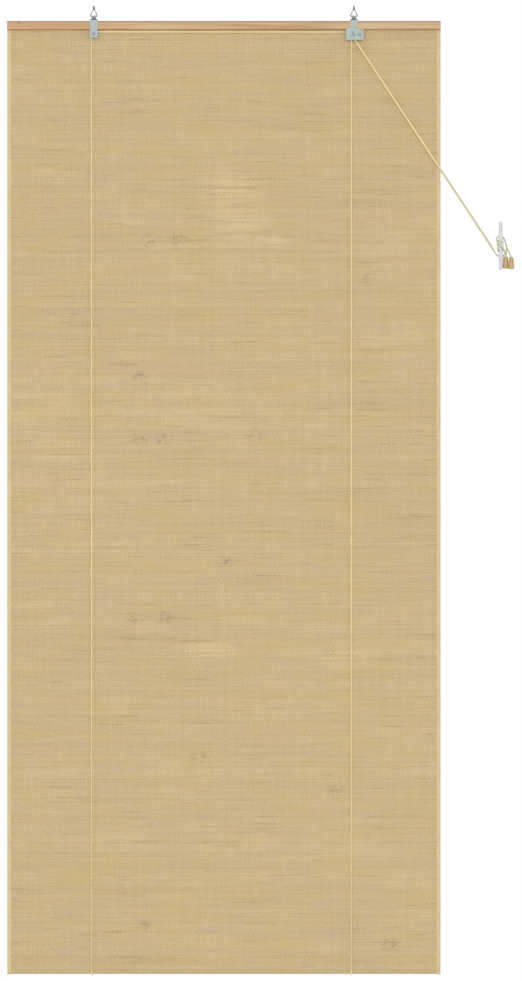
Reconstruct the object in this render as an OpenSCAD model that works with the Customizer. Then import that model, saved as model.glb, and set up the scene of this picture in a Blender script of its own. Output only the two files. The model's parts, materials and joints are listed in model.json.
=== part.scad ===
// Bamboo roll up blind with two slung lift cords, a cord lock, a wall cleat and wooden pulls.
// X runs along the head rail, the room side faces -Y and +Z is up.
// Modules are drawn from the middle of the rail's top edge, and hung() then puts the origin
// on the hanging line, midway between the two hooks.

/* [Blind] */
// Width of the blind over its edge tapes
blind_w = 1000; // [900:10:1200]
// Drop from the top of the head rail to the bottom of the hem
blind_drop = 2200; // [1800:10:2400]

/* [Head rail] */
// Height of the wooden batten
rail_h = 19; // [18:0.5:24]
// Depth of the batten from front to back
rail_d = 12; // [12:0.5:16]
// Width of the eased corners of the batten
rail_ease = 0.8; // [0.3:0.1:1.5]

/* [Bamboo mat] */
// Thickness of the mat over its ridges
mat_t = 2; // [1.6:0.1:3]
// Height of one ridge, which is two woven slats
ridge_pitch = 6.82; // [6:0.01:10]
// Depth of the groove between two ridges
ridge_depth = 0.5; // [0.2:0.05:0.6]
// Rows of open slits between slats
gap_rows = 15; // [8:1:15]
// Open slits in one row
gap_columns = 8; // [4:1:8]
// Length of one slit
gap_l = 64; // [30:1:80]
// Height of one slit
gap_h = 0.8; // [0.4:0.1:1]
// Space between the top of the mat and the top of the batten
mat_top_gap = 1; // [0.5:0.5:4]
// Width of the tape that binds each side edge
tape_w = 9; // [6:0.5:14]
// Thickness of the tape
tape_t = 0.4; // [0.3:0.1:0.8]

/* [Hem] */
// Height of the hem at the bottom
hem_h = 39; // [32:1:50]
// Thickness of the bottom rail inside the hem
bottom_rail_t = 6; // [5:0.5:8]
// Inset of the bottom rail from each end of the hem
bottom_rail_inset = 2; // [1:0.5:6]

/* [Brackets] */
// Distance of each bracket from the middle of the rail
bracket_x = 300; // [260:5:380]
// Thickness of the folded sheet
sheet_t = 1; // [0.8:0.1:1.2]
// Width of the plain bracket
bracket_w = 18; // [16:0.5:22]
// Width of the pinched neck under the knuckle
neck_w = 9; // [8:0.5:9.5]
// Width of the knuckle round the hanger
knuckle_w = 10; // [9.5:0.5:12]
// Height of the hanger's bar above the rail
knuckle_z = 11; // [10:0.5:14]
// Height where the neck opens into the roof
neck_z = 6.5; // [6:0.25:7.5]
// Height where the roof meets the leaves
shoulder_z = 2.3; // [1.8:0.1:3]
// Length of the plain leaves below the top of the rail
leaf_drop = 38.6; // [38:0.2:44]
// Room behind a back leaf for rivet tails and nail heads
head_room = 1; // [1:0.1:2]
// Width of the lock's strap at its waist
waist_w = 13; // [11:0.1:15]
// Reach of the lock plate to the left of its strap
lock_left = 18.3; // [17:0.1:22]
// Reach of the lock plate to the right of its strap
lock_right = 21.9; // [21:0.1:26]
// Left shoulder of the lock plate below the top of the rail
lock_top = 16.9; // [15:0.1:18]
// Bottom of the lock plate below the top of the rail
lock_drop = 43.7; // [43:0.1:48]
// Corner radius of the lock plate
lock_corner_r = 2.5; // [1.5:0.1:4]
// Lean of the axle slots from upright
slot_lean = 24; // [15:1:30]
// Part of each slot above the axle
slot_up = 5; // [4:0.5:6]
// Part of each slot below the axle
slot_down = 4.5; // [2:0.5:5]

/* [Pulleys and brake] */
// Depth of both pulley axles below the top of the rail
pulley_drop = 30; // [29.5:0.1:31]
// Radius of the cord's middle on a pulley
pulley_cord_r = 5; // [4.8:0.1:5.2]
// Radius of the pulley rims
rim_r = 5.6; // [5.4:0.1:5.9]
// Width of the rim of the left pulley
single_rim_w = 5; // [4.6:0.1:7]
// Distance between the two grooves of the lock pulley
groove_pitch = 4.4; // [4.4:0.1:4.6]
// Radius of the pulley axles and the brake rivet
axle_r = 1.5; // [1.2:0.1:1.7]
// Offset of the lock pulley from the middle of its strap
lock_pulley_dx = -1; // [-2:0.1:0]
// Offset of the brake from the middle of its strap
brake_dx = 12.6; // [12.4:0.1:14]
// Depth of the brake below the top of the rail
brake_drop = 31.4; // [30:0.1:34]
// Radius over the teeth of the brake bush
brake_r = 6.6; // [6:0.1:6.8]
// Teeth round the brake bush
brake_teeth = 20; // [14:1:30]

/* [Hangers] */
// Diameter of the hanger wire
wire_d = 2; // [1.6:0.1:2.2]
// Reach of the straight bar beyond each end of the knuckle
bar_reach = 0.2; // [0.2:0.1:1]
// Radius of the bends beside the bar
corner_bend = 2.4; // [2:0.1:3]
// Radius of the bends at the apex
apex_bend = 3; // [2:0.1:4]
// Lean of the triangle's sides from upright
side_lean = 32; // [28:1:38]
// Gap between the two wires of the shank
shank_gap = 0.2; // [0.2:0.05:0.6]
// Radius of the hook to the middle of the wire
hook_bend = 4; // [3.5:0.1:5]
// Height of the hook's inside above the rail
hang_h = 34; // [33:0.5:40]
// Straight length of the hook's tip
tip_l = 3; // [1:0.5:5]

/* [Cords and eyes] */
// Diameter of the lift cord
cord_d = 3; // [2.4:0.1:3]
// Distance of each screw eye from its bracket
eye_dx = 18; // [16:0.5:22]
// Depth of the screw eyes below the top of the rail
eye_drop = 10; // [8:0.5:11]
// Radius of the screw eye's ring to the middle of the wire
eye_ring_r = 2.9; // [2.7:0.1:4]
// Radius of the screw eye's wire
eye_wire_r = 0.9; // [0.7:0.1:1]
// Length of the screw eye in the batten
eye_thread_l = 8; // [5:0.5:9]

/* [Fasteners] */
// Staples that hold the mat
staple_count = 10; // [6:2:10]
// Distance between staples
staple_pitch = 100; // [90:1:100]
// Width of a staple's crown
staple_w = 10; // [6:0.5:12]
// Thickness of the staple wire
staple_wire = 0.7; // [0.5:0.1:0.9]
// Length of a staple's legs in the batten
staple_leg = 6; // [4:0.5:8]
// Radius of the bracket nails
nail_r = 1; // [0.8:0.1:1.2]
// Length of the nails in the batten
nail_l = 7; // [5:0.5:8]
// Depth of the nails below the top of the rail
nail_drop = 10; // [8:0.5:13]

/* [Cleat and pulls] */
// Distance of the cleat from the middle of the rail
cleat_x = 639; // [620:1:700]
// Depth of the cleat's middle below the top of the rail
cleat_drop = 517.5; // [450:0.5:700]
// Length of the cleat over its horns
cleat_l = 112; // [90:1:130]
// Distance of the wall behind the pulley plane
wall_y = 22; // [21.5:0.5:30]
// Height of a horn's axis above the wall
horn_h = 15; // [13:0.5:18]
// Radius of a horn at its root
horn_r = 5; // [4.5:0.1:5.5]
// Radius of a horn at its tip
horn_tip_r = 4.2; // [3.5:0.1:4.5]
// Lean of the horns away from the wall
horn_lean = 4; // [2:0.5:8]
// Height of the stem between the horns
stem_h = 26; // [24:0.5:32]
// Depth of the stem's face behind the horns' axis line
stem_recess = 3; // [1:0.5:4]
// Thickness of the foot on the wall
foot_t = 3; // [2:0.5:4]
// Rim of the foot round the stem
foot_rim = 3; // [2:0.5:5]
// Distance between the cleat's screw holes
screw_pitch = 13; // [11:0.5:14]
// Radius of the cleat's screw holes
screw_hole_r = 2.1; // [1.6:0.1:2.4]
// Radius of the screw holes' countersinks
screw_sink_r = 3.8; // [2.8:0.1:4]
// Height of a wooden pull
pull_h = 27; // [22:0.5:32]
// Radius of a pull at its top
pull_top_r = 5.25; // [4:0.25:5.75]
// Largest radius of a pull
pull_r = 7.4; // [6.6:0.1:8]
// Radius of the rounded lower edge of a pull
pull_edge_r = 2.5; // [1.5:0.25:3.25]
// Radius of the bore for the cord
pull_bore_r = 1.7; // [1.5:0.1:2]
// Radius of the knot's hole in the bottom of a pull
knot_hole_r = 4; // [3:0.1:4.5]
// Depth of the knot's hole
knot_hole_h = 8; // [6:0.5:10]

/* [Fits] */
// Radial clearance of a turning fit
turn_fit = 0.08; // [0.05:0.01:0.1]
// Radial clearance round a fixed rivet, nail or screw
fixed_fit = 0.05; // [0.02:0.01:0.1]
// Clearance beside a pulley, a rivet head or a rail in its pocket
side_fit = 0.2; // [0.1:0.05:0.3]
// Clearance of the cord in a groove or a slot
cord_fit = 0.35; // [0.3:0.05:0.5]

/* [Hidden] */
$fn = 48;
// Overshoot of cuts
over = 1;

// Depths, from the pulley plane between the two leaves of a bracket
leaf_gap = rail_d - sheet_t - head_room;
leaf_in = leaf_gap / 2;
leaf_out = leaf_in + sheet_t;
rail_front = -leaf_in;
rail_back = rail_front + rail_d;
mat_front = rail_back;
mat_back = mat_front + mat_t;

// Mat and hem
mat_w = blind_w - 2 * tape_t;
mat_bottom = -(blind_drop - hem_h);
hem_back = mat_back + bottom_rail_t + mat_t;
hem_r = (hem_back - mat_front) / 2;
hem_mid_y = (hem_back + mat_front) / 2;
hem_bend_z = -blind_drop + hem_r;
// Each row of slits is shifted this share of a column from the middle, to one side and the other
gap_stagger = 0.125;

// Brackets, as the fold and the front outline of one sheet
wire_r = wire_d / 2;
knuckle_bore = wire_r + turn_fit;
knuckle_r = knuckle_bore + sheet_t;
neck_slit = 0.4;
neck_half = neck_slit / 2 + sheet_t;
roof_fall = (neck_z - shoulder_z) / (leaf_out - neck_half);
roof_inside = sheet_t * sqrt(1 + roof_fall * roof_fall);
waist_z = -11;
strap_w = 18;
lock_shoulder_fall = 1.8;
leaf_corner_r = 1.5;
lip_fit = 0.3;
lip_notch_h = 2.5;

// Pulleys, brake and rivets
cord_r = cord_d / 2;
groove_r = cord_r + cord_fit;
groove_flare = 0.3;
hub_r = 3;
hub_l = leaf_gap - 2 * side_fit;
double_rim_w = hub_l;
pulley_bore = axle_r + turn_fit;
rivet_head_r = 3.2;
rivet_head_h = 1.2;
rivet_tail_r = 2.6;
rivet_tail_h = head_room - side_fit;
nail_head_r = 2.4;
nail_end = leaf_in - nail_l;
brake_tooth_h = 0.5;
lock_x = bracket_x + lock_pulley_dx;
brake_x = bracket_x + brake_dx;

// Hanger, one wire bent from the bar to the hook
bar_half = knuckle_w / 2 + bar_reach;
shank_x = wire_r + shank_gap / 2;
side_x = bar_half + corner_bend * cos(side_lean);
side_z = knuckle_z + corner_bend * (1 + sin(side_lean));
apex_x = shank_x + apex_bend * (1 - cos(side_lean));
apex_z = side_z + (side_x - apex_x) / tan(side_lean);
shank_z = apex_z + apex_bend * sin(side_lean);
// The bent wire is drawn this much thinner than the turned bar that it joins
bar_step = 0.02;
corner_steps = 6;
apex_steps = 3;
hook_steps = 8;
tip_steps = 4;
hook_z = hang_h + wire_r - hook_bend;

// Screw eyes
eye_off_mat = 0.5;
eye_y = mat_back + eye_off_mat + eye_ring_r + eye_wire_r;
eye_end = rail_back - eye_thread_l;

// Cleat
horn_y = wall_y - horn_h;
stem_r = horn_r;
stem_face_y = horn_y - horn_r + stem_recess;
horn_root = 2.5;
horn_start = stem_h / 2 - horn_root;
horn_l = (cleat_l / 2 - horn_start) / cos(horn_lean) - horn_tip_r;
sink_h = screw_sink_r - screw_hole_r;
pull_ease = 1;

// Cord routes, from the middle of the rail's top edge. The two pull cords lie one behind the other.
left_x = -305;
right_x = 294;
cross_z = -24.7;
run_top = -30;
run_bottom = -2188;
sling_top = -2188.5;
sling_front_y = 5.15;
sling_back_y = 18.85;
left_back_route = [[-318, 13.3, -4], [-318, 13.3, -20], [left_x, sling_back_y, run_bottom]];
right_back_route = [[282, 13.3, -4], [282, 13.3, -20], [right_x, sling_back_y, run_bottom]];
left_front_route = [[left_x, 0, run_top], [left_x, sling_front_y, run_bottom]];
right_front_route = [[right_x, -2.2, run_top], [right_x, sling_front_y, run_bottom]];
sling_route = [
    [0, sling_front_y, sling_top],
    [0, 5.15, -2195],
    [0, 6.07, -2198.43],
    [0, 8.575, -2200.93],
    [0, 12, -2201.85],
    [0, 15.425, -2200.93],
    [0, 17.93, -2198.43],
    [0, 18.85, -2195],
    [0, sling_back_y, sling_top]
];
left_guide_route = [
    [left_x, 0, run_top],
    [-304.6, 0, -27.4],
    [-302.7, 0, -25.4],
    [-300, 0, cross_z],
    [299, 2.2, cross_z],
    [301.7, 2.2, -25.4],
    [303.6, 2.2, -27.4],
    [304.2, 2.2, -30],
    [304, 2.2, -45]
];
right_guide_route = [
    [right_x, -2.2, run_top],
    [294.4, -2.2, -27.4],
    [296.3, -2.2, -25.4],
    [299, -2.2, cross_z],
    [301.7, -2.2, -25.4],
    [303.6, -2.2, -27.4],
    [304.2, -2.2, -30],
    [304, -2.2, -45]
];
// One turn round both horns of the cleat, as the front cord lies
winding = [
    [618, 4.3, -522],
    [626, 7.5, -534],
    [633, 11.8, -541],
    [640, 13.8, -543],
    [647, 11, -540],
    [649.5, 5, -533],
    [646, -0.6, -526],
    [639.5, -1.7, -518.5],
    [631.6, -0.5, -510],
    [628.5, 6, -502.5],
    [632, 11.5, -496.5],
    [639, 13.8, -494.5],
    [645.5, 11, -498],
    [650, 7.5, -508],
    [653.5, 5, -523]
];
// The back cord keeps this distance behind the front one on the cleat
cord_step = [0, 4, 0];
// On the way to the cleat the back cord also shows beside the front one
side_step = [1.5, 0, 1];
// It passes in front of the right edge tape here
clear_of_tape = [504, 4.7, -346.3];
pull_tail = -568;
right_pull_route = concat(
    [[304, -2.2, -45], [304.5, -2.2, -47.5], [306, -2.1, -50]],
    winding,
    [[658.5, 3.5, -534], [662.8, 2, -543.5], [662.8, 2, -549], [662.8, 2, pull_tail]]
);
left_pull_route = concat(
    [[304, 2.2, -45], [304.8, 2.2, -47], [307.5, 2.2, -49], clear_of_tape],
    [winding[0] + cord_step + side_step],
    [for (i = [1 : len(winding) - 1]) winding[i] + cord_step],
    [[652.5, 11.5, -533.5], [650.8, 13.3, -541.8], [650.8, 13.3, -550], [650.8, 13.3, -565]]
);
right_pull_top = [662.8, 2, -544.5];
left_pull_top = [650.8, 13.3, -542.3];

bamboo = [0.80, 0.70, 0.52];
pale_tape = [0.87, 0.80, 0.60];
pine = [0.84, 0.68, 0.48];
turned_wood = [0.78, 0.63, 0.42];
zinc = [0.69, 0.75, 0.75];
wire_steel = [0.55, 0.57, 0.57];
cord_cream = [0.88, 0.80, 0.60];
white_plastic = [0.90, 0.91, 0.91];
grey_plastic = [0.75, 0.77, 0.77];

// Carriers of shapes

module hung() {
    translate([0, -hook_bend, -hang_h]) children();
}

// Extrudes a side section, drawn in Y and Z, along X
module along_x(l) {
    translate([-l / 2, 0, 0]) rotate([90, 0, 90]) linear_extrude(l) children();
}

// Extrudes a front outline, drawn in X and Z, from y0 to y1
module along_y(y0, y1) {
    translate([0, y1, 0]) rotate([90, 0, 0]) linear_extrude(y1 - y0) children();
}

// Turns a section, drawn in radius and depth, about Y
module about_y() {
    rotate([90, 0, 0]) rotate_extrude() children();
}

module rod(p, q, r) {
    v = q - p;
    l = norm(v);
    translate(p) rotate([0, acos(v.z / l), atan2(v.y, v.x)]) cylinder(h = l, r = r);
}

function backwards(list) = [for (i = [len(list) - 1 : -1 : 0]) list[i]];
// Points of an arc, and the same points stood up in X and Z
function arc(mid, r, from, turn, steps) =
    [for (i = [0 : steps]) let (a = from + turn * i / steps) mid + r * [cos(a), sin(a)]];
function upright(points, y = 0) = [for (p = points) [p.x, y, p.y]];

// Cords

function unit(v) = v / norm(v);
function heading(p, i) =
    unit((i > 0 ? unit(p[i] - p[i - 1]) : [0, 0, 0])
        + (i < len(p) - 1 ? unit(p[i + 1] - p[i]) : [0, 0, 0]));
function first_side(t) = unit(cross(t, abs(t.x) < 0.9 ? [1, 0, 0] : [0, 1, 0]));
// A side vector at each point, carried along the route without twist
function sides(p, i = 0, s = [0, 0, 0]) =
    let (t = heading(p, i), m = i == 0 ? first_side(t) : unit(s - t * (s * t)))
    i == len(p) - 1 ? [m] : concat([m], sides(p, i + 1, m));

cord_sides = 8;
wire_sides = 10;
// A tube of n sides along the points p
module tube(p, r, n) {
    side = sides(p);
    points = [
        for (i = [0 : len(p) - 1], k = [0 : n - 1])
            let (t = heading(p, i), a = 360 * k / n)
            p[i] + r * (cos(a) * side[i] + sin(a) * cross(t, side[i]))
    ];
    walls = [
        for (i = [0 : len(p) - 2], k = [0 : n - 1])
            let (a = i * n + k, b = i * n + (k + 1) % n)
            each [[a + n, b + n, b], [a + n, b, a]]
    ];
    start = [for (k = [0 : n - 1]) k];
    end = [for (k = [0 : n - 1]) len(points) - 1 - k];
    polyhedron(points, concat([start], walls, [end]));
}

module cord(route) {
    color(cord_cream) tube(route, cord_r, cord_sides);
}

// Head rail, mat and hem

module notch(w, z0, z1) {
    translate([-w / 2, leaf_in, z0]) cube([w, rail_d, z1 - z0]);
}

// Blind hole from the back of the batten, just round and just longer than what is driven in
module pilot_hole(x, z, r, y_end) {
    translate([x, rail_back + over, z]) rotate([90, 0, 0])
        cylinder(h = rail_back + over - y_end + side_fit, r = r + fixed_fit);
}

module head_rail() {
    e = rail_ease;
    section = [
        [rail_front + e, 0], [rail_back - e, 0], [rail_back, -e], [rail_back, -rail_h + e],
        [rail_back - e, -rail_h], [rail_front + e, -rail_h], [rail_front, -rail_h + e], [rail_front, -e]
    ];
    color(pine) difference() {
        along_x(blind_w) polygon(section);
        for (side = [-1, 1])
            translate([side * bracket_x, 0, 0])
                notch(bracket_w + 2 * side_fit, -rail_h - over, over);
        translate([bracket_x + (lock_right - lock_left) / 2, 0, 0])
            notch(lock_left + lock_right + 2 * side_fit, -rail_h - over, -lock_top + side_fit);
        for (side = [-1, 1]) {
            pilot_hole(side * bracket_x, -nail_drop, nail_r, nail_end);
            pilot_hole(side * bracket_x - eye_dx, -eye_drop, eye_wire_r, eye_end);
        }
    }
}

// Section of a woven wall between two heights, ridged on both faces
function ridged(y0, y1, top, bottom) =
    let (n = round((top - bottom) / ridge_pitch), p = (top - bottom) / n)
    concat(
        [for (i = [0 : 2 * n]) [y0 + (i % 2 == 0 ? ridge_depth : 0), top - i * p / 2]],
        [for (i = [2 * n : -1 : 0]) [y1 - (i % 2 == 0 ? ridge_depth : 0), top - i * p / 2]]
    );

module mat() {
    n = round((-mat_top_gap - mat_bottom) / ridge_pitch);
    pitch = (-mat_top_gap - mat_bottom) / n;
    column = mat_w / gap_columns;
    color(bamboo) difference() {
        along_x(mat_w) polygon(ridged(mat_front, mat_back, -mat_top_gap, mat_bottom));
        for (row = [0 : gap_rows - 1], i = [0 : gap_columns - 1]) {
            ridge = round((row + 1) * n / (gap_rows + 1));
            shift = row % 2 == 0 ? -gap_stagger : gap_stagger;
            x = (i - (gap_columns - 1) / 2 + shift) * column;
            translate([x - gap_l / 2, mat_front - over, -mat_top_gap - ridge * pitch - gap_h / 2])
                cube([gap_l, mat_t + 2 * over, gap_h]);
        }
        for (side = [-1, 1])
            translate([side * bracket_x - eye_dx, mat_back + over, -eye_drop])
                rotate([90, 0, 0]) cylinder(h = mat_t + 2 * over, r = eye_wire_r + cord_fit);
    }
}

// Tape folded over one side edge of the mat
module edge_tape(side) {
    top = -rail_h - side_fit;
    y0 = mat_front - tape_t;
    y1 = mat_back + tape_t;
    color(pale_tape) mirror([side < 0 ? 1 : 0, 0, 0])
        translate([0, 0, mat_bottom]) linear_extrude(top - mat_bottom) difference() {
            translate([blind_w / 2 - tape_w, y0]) square([tape_w, y1 - y0]);
            translate([blind_w / 2 - tape_w - over, mat_front]) square([tape_w - tape_t + over, mat_t]);
        }
}
module left_edge_tape() { edge_tape(-1); }
module right_edge_tape() { edge_tape(1); }

module mat_staples() {
    leg = mat_t + staple_leg;
    color(zinc)
        for (i = [0 : staple_count - 1])
            translate([(i - (staple_count - 1) / 2) * staple_pitch, mat_back, -rail_h / 2]) {
                translate([-staple_w / 2, 0, -staple_wire / 2]) cube([staple_w, staple_wire, staple_wire]);
                for (x = [-staple_w / 2, staple_w / 2 - staple_wire])
                    translate([x, -leg, -staple_wire / 2]) cube([staple_wire, leg, staple_wire]);
            }
}

// The mat's lower end, folded round the bottom rail
module bottom_hem() {
    color(bamboo) along_x(blind_w) {
        polygon(ridged(mat_front, mat_back, mat_bottom, hem_bend_z));
        polygon(ridged(hem_back - mat_t, hem_back, mat_bottom, hem_bend_z));
        difference() {
            translate([hem_mid_y, hem_bend_z]) circle(hem_r);
            translate([hem_mid_y, hem_bend_z]) circle(hem_r - mat_t);
            translate([mat_front - over, hem_bend_z]) square([2 * hem_r + 2 * over, hem_r + over]);
        }
    }
}

module bottom_rail() {
    r = bottom_rail_t / 2 - side_fit;
    top = mat_bottom - side_fit;
    color(pine) along_x(blind_w - 2 * bottom_rail_inset) {
        translate([hem_mid_y - r, hem_bend_z]) square([2 * r, top - r - hem_bend_z]);
        translate([hem_mid_y, hem_bend_z]) circle(r);
        translate([hem_mid_y, top - r]) circle(r);
    }
}

// Brackets

// Section of the folded sheet: knuckle, pinched neck, roof and two leaves
module fold_section(drop) {
    inner_neck_z = neck_z + (neck_half - neck_slit / 2) * roof_fall - roof_inside;
    inner_leaf_z = neck_z - (leaf_in - neck_half) * roof_fall - roof_inside;
    difference() {
        union() {
            translate([0, knuckle_z]) circle(knuckle_r);
            polygon([
                [-neck_half, knuckle_z], [-neck_half, neck_z], [-leaf_out, shoulder_z], [-leaf_out, -drop],
                [leaf_out, -drop], [leaf_out, shoulder_z], [neck_half, neck_z], [neck_half, knuckle_z]
            ]);
        }
        translate([0, knuckle_z]) circle(knuckle_bore);
        polygon([
            [-neck_slit / 2, knuckle_z], [-neck_slit / 2, inner_neck_z],
            [-leaf_in, inner_leaf_z], [-leaf_in, -drop - over], [leaf_in, -drop - over],
            [leaf_in, inner_leaf_z], [neck_slit / 2, inner_neck_z], [neck_slit / 2, knuckle_z]
        ]);
    }
}

// Right edge of the front outline, from the knuckle down to the roof's shoulder
head_edge = [
    [knuckle_w / 2, knuckle_z + knuckle_r + over], [knuckle_w / 2, knuckle_z - knuckle_r],
    [neck_w / 2, knuckle_z - knuckle_r], [neck_w / 2, neck_z], [bracket_w / 2, shoulder_z]
];

function flipped(edge) = [for (p = backwards(edge)) [-p.x, p.y]];

// A front outline between two edges, with round corners at its foot
module sheet_outline(right_edge, left_edge, x0, x1, drop, r) {
    polygon(concat(
        right_edge,
        arc([x1 - r, r - drop], r, 0, -90, corner_steps),
        arc([x0 + r, r - drop], r, -90, -90, corner_steps),
        left_edge
    ));
}

module leaf_bore(x, z, r) {
    translate([x, leaf_out + over, z]) rotate([90, 0, 0]) cylinder(h = 2 * (leaf_out + over), r = r);
}

module nail_bore() {
    translate([0, leaf_out + over, -nail_drop]) rotate([90, 0, 0])
        cylinder(h = sheet_t + 2 * over, r = nail_r + fixed_fit);
}

module left_bracket() {
    color(zinc) translate([-bracket_x, 0, 0]) difference() {
        intersection() {
            along_x(2 * bracket_w) fold_section(leaf_drop + over);
            along_y(-leaf_out - over, leaf_out + over)
                sheet_outline(
                    head_edge, flipped(head_edge), -bracket_w / 2, bracket_w / 2, leaf_drop, leaf_corner_r
                );
        }
        leaf_bore(0, -pulley_drop, axle_r + fixed_fit);
        nail_bore();
    }
}

// The lock's strap narrows to a waist in front of the rail and opens into a wide plate
module lock_outline() {
    right_top = -lock_top - lock_shoulder_fall;
    right_edge = concat(head_edge, [
        [waist_w / 2, waist_z], [strap_w / 2, right_top], [lock_right, right_top]
    ]);
    left_edge = concat(
        [[-lock_left, -lock_top - lock_shoulder_fall], [-lock_left + lock_shoulder_fall, -lock_top],
        [-strap_w / 2, -lock_top], [-waist_w / 2, waist_z]],
        flipped(head_edge)
    );
    sheet_outline(right_edge, left_edge, -lock_left, lock_right, lock_drop, lock_corner_r);
}

// Slanted slots in both leaves, in which the pulley's axle floats
module axle_slots() {
    r = axle_r + turn_fit;
    translate([lock_pulley_dx, 0, -pulley_drop]) rotate([0, -slot_lean, 0]) {
        leaf_bore(0, slot_up, r);
        leaf_bore(0, -slot_down, r);
        translate([-r, -leaf_out - over, -slot_down])
            cube([2 * r, 2 * (leaf_out + over), slot_up + slot_down]);
    }
}

// Slot in the lip for the cords, from the front leaf to its round back end
module cord_slot(x, y_end) {
    r = cord_r + cord_fit;
    z0 = -lock_drop - over;
    translate([x, y_end, z0]) cylinder(h = over + lip_notch_h, r = r);
    translate([x - r, -leaf_in, z0]) cube([2 * r, y_end + leaf_in, over + lip_notch_h]);
}

module lock_bracket() {
    lip_x0 = -lock_left + lock_corner_r;
    lip_x1 = lock_right - lock_corner_r;
    color(zinc) translate([bracket_x, 0, 0]) difference() {
        union() {
            intersection() {
                along_x(2 * (lock_left + lock_right)) fold_section(lock_drop + over);
                along_y(-leaf_out - over, leaf_out + over) lock_outline();
            }
            translate([lip_x0, -leaf_out, -lock_drop])
                cube([lip_x1 - lip_x0, leaf_out + leaf_in - lip_fit, sheet_t]);
        }
        axle_slots();
        leaf_bore(brake_dx, -brake_drop, axle_r + fixed_fit);
        nail_bore();
        cord_slot(lock_pulley_dx - pulley_cord_r, -groove_pitch / 2);
        cord_slot(lock_pulley_dx + pulley_cord_r, groove_pitch / 2);
    }
}

// A rivet along Y with a domed head in front and a flat tail behind
module rivet(gap) {
    dome_r = (rivet_head_r * rivet_head_r + rivet_head_h * rivet_head_h) / (2 * rivet_head_h);
    front = -leaf_out - gap;
    translate([0, leaf_out + gap, 0]) rotate([90, 0, 0])
        cylinder(h = 2 * (leaf_out + gap), r = axle_r);
    translate([0, leaf_out + rivet_tail_h, 0]) rotate([90, 0, 0])
        cylinder(h = rivet_tail_h - gap, r = rivet_tail_r);
    intersection() {
        translate([0, front - rivet_head_h + dome_r, 0]) sphere(dome_r);
        translate([0, front, 0]) rotate([90, 0, 0]) cylinder(h = rivet_head_h, r = rivet_head_r);
    }
}

module left_axle() {
    color(zinc) translate([-bracket_x, 0, -pulley_drop]) rivet(0);
}
module lock_axle() {
    color(zinc) translate([lock_x, 0, -pulley_drop]) rivet(turn_fit);
}
module brake_rivet() {
    color(zinc) translate([brake_x, 0, -brake_drop]) rivet(0);
}

// Section of a pulley with a hub and one round groove at each depth in the list
module pulley_section(rim_w, grooves) {
    difference() {
        union() {
            translate([pulley_bore, -hub_l / 2]) square([hub_r - pulley_bore, hub_l]);
            translate([pulley_bore, -rim_w / 2]) square([rim_r - pulley_bore, rim_w]);
        }
        for (d = grooves) {
            translate([pulley_cord_r, d]) circle(groove_r);
            polygon([
                [pulley_cord_r, d - groove_r], [rim_r + over, d - groove_r - groove_flare],
                [rim_r + over, d + groove_r + groove_flare], [pulley_cord_r, d + groove_r]
            ]);
        }
    }
}

module left_pulley() {
    color(grey_plastic) translate([-bracket_x, 0, -pulley_drop])
        about_y() pulley_section(single_rim_w, [0]);
}
module lock_pulley() {
    color(grey_plastic) translate([lock_x, 0, -pulley_drop])
        about_y() pulley_section(double_rim_w, [-groove_pitch / 2, groove_pitch / 2]);
}

// The toothed bush that the floating pulley presses the cords against
module brake_bush() {
    teeth = [
        for (i = [0 : 2 * brake_teeth - 1])
            let (r = brake_r - (i % 2) * brake_tooth_h, a = 180 * i / brake_teeth)
            [r * cos(a), r * sin(a)]
    ];
    color(grey_plastic) translate([brake_x, 0, -brake_drop]) difference() {
        along_y(-hub_l / 2, hub_l / 2) polygon(teeth);
        translate([0, hub_l, 0]) rotate([90, 0, 0]) cylinder(h = 2 * hub_l, r = axle_r + fixed_fit);
    }
}

module bracket_nails() {
    color(wire_steel)
        for (side = [-1, 1])
            translate([side * bracket_x, leaf_out, -nail_drop]) {
                rotate([90, 0, 0]) cylinder(h = leaf_out - nail_end, r = nail_r);
                rotate([-90, 0, 0]) cylinder(h = rivet_tail_h, r = nail_head_r);
            }
}

// Hangers

// One side of the wire, from the end of the bar over the hook
function hanger_side() = concat(
    upright(arc([bar_half, knuckle_z + corner_bend], corner_bend, -90, 90 + side_lean, corner_steps)),
    upright(arc([shank_x + apex_bend, shank_z], apex_bend, 180 - side_lean, side_lean, apex_steps)),
    [for (p = arc([hook_bend, hook_z], hook_bend, 180, -180, hook_steps)) [shank_x, p.x, p.y]]
);

// The wire runs from one end of the bar round the hook's tip and back to the other end
module hanger(x) {
    one = hanger_side();
    other = [for (p = backwards(one)) [-p.x, p.y, p.z]];
    tip = upright(arc([0, hook_z - tip_l], shank_x, 0, -180, tip_steps), 2 * hook_bend);
    color(wire_steel) translate([x, 0, 0]) {
        rod([-bar_half, 0, knuckle_z], [bar_half, 0, knuckle_z], wire_r);
        tube(concat(one, tip, other), wire_r - bar_step, wire_sides);
    }
}
module left_hanger() { hanger(-bracket_x); }
module right_hanger() { hanger(bracket_x); }

// Screw eye in the back of the batten, its ring lying flat
module cord_eye(x) {
    color(wire_steel) translate([x - eye_dx, 0, -eye_drop]) {
        translate([0, eye_y, 0]) rotate_extrude() translate([eye_ring_r, 0]) circle(eye_wire_r);
        rod([0, eye_end, 0], [0, eye_y - eye_ring_r, 0], eye_wire_r);
    }
}
module left_cord_eye() { cord_eye(-bracket_x); }
module right_cord_eye() { cord_eye(bracket_x); }

// Cord pieces

module left_back_cord() { cord(left_back_route); }
module right_back_cord() { cord(right_back_route); }
module left_front_cord() { cord(left_front_route); }
module right_front_cord() { cord(right_front_route); }
module left_sling_cord() { translate([left_x, 0, 0]) cord(sling_route); }
module right_sling_cord() { translate([right_x, 0, 0]) cord(sling_route); }
module left_guide_cord() { cord(left_guide_route); }
module right_guide_cord() { cord(right_guide_route); }
module left_pull_cord() { cord(left_pull_route); }
module right_pull_cord() { cord(right_pull_route); }

// Cleat and pulls

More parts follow.
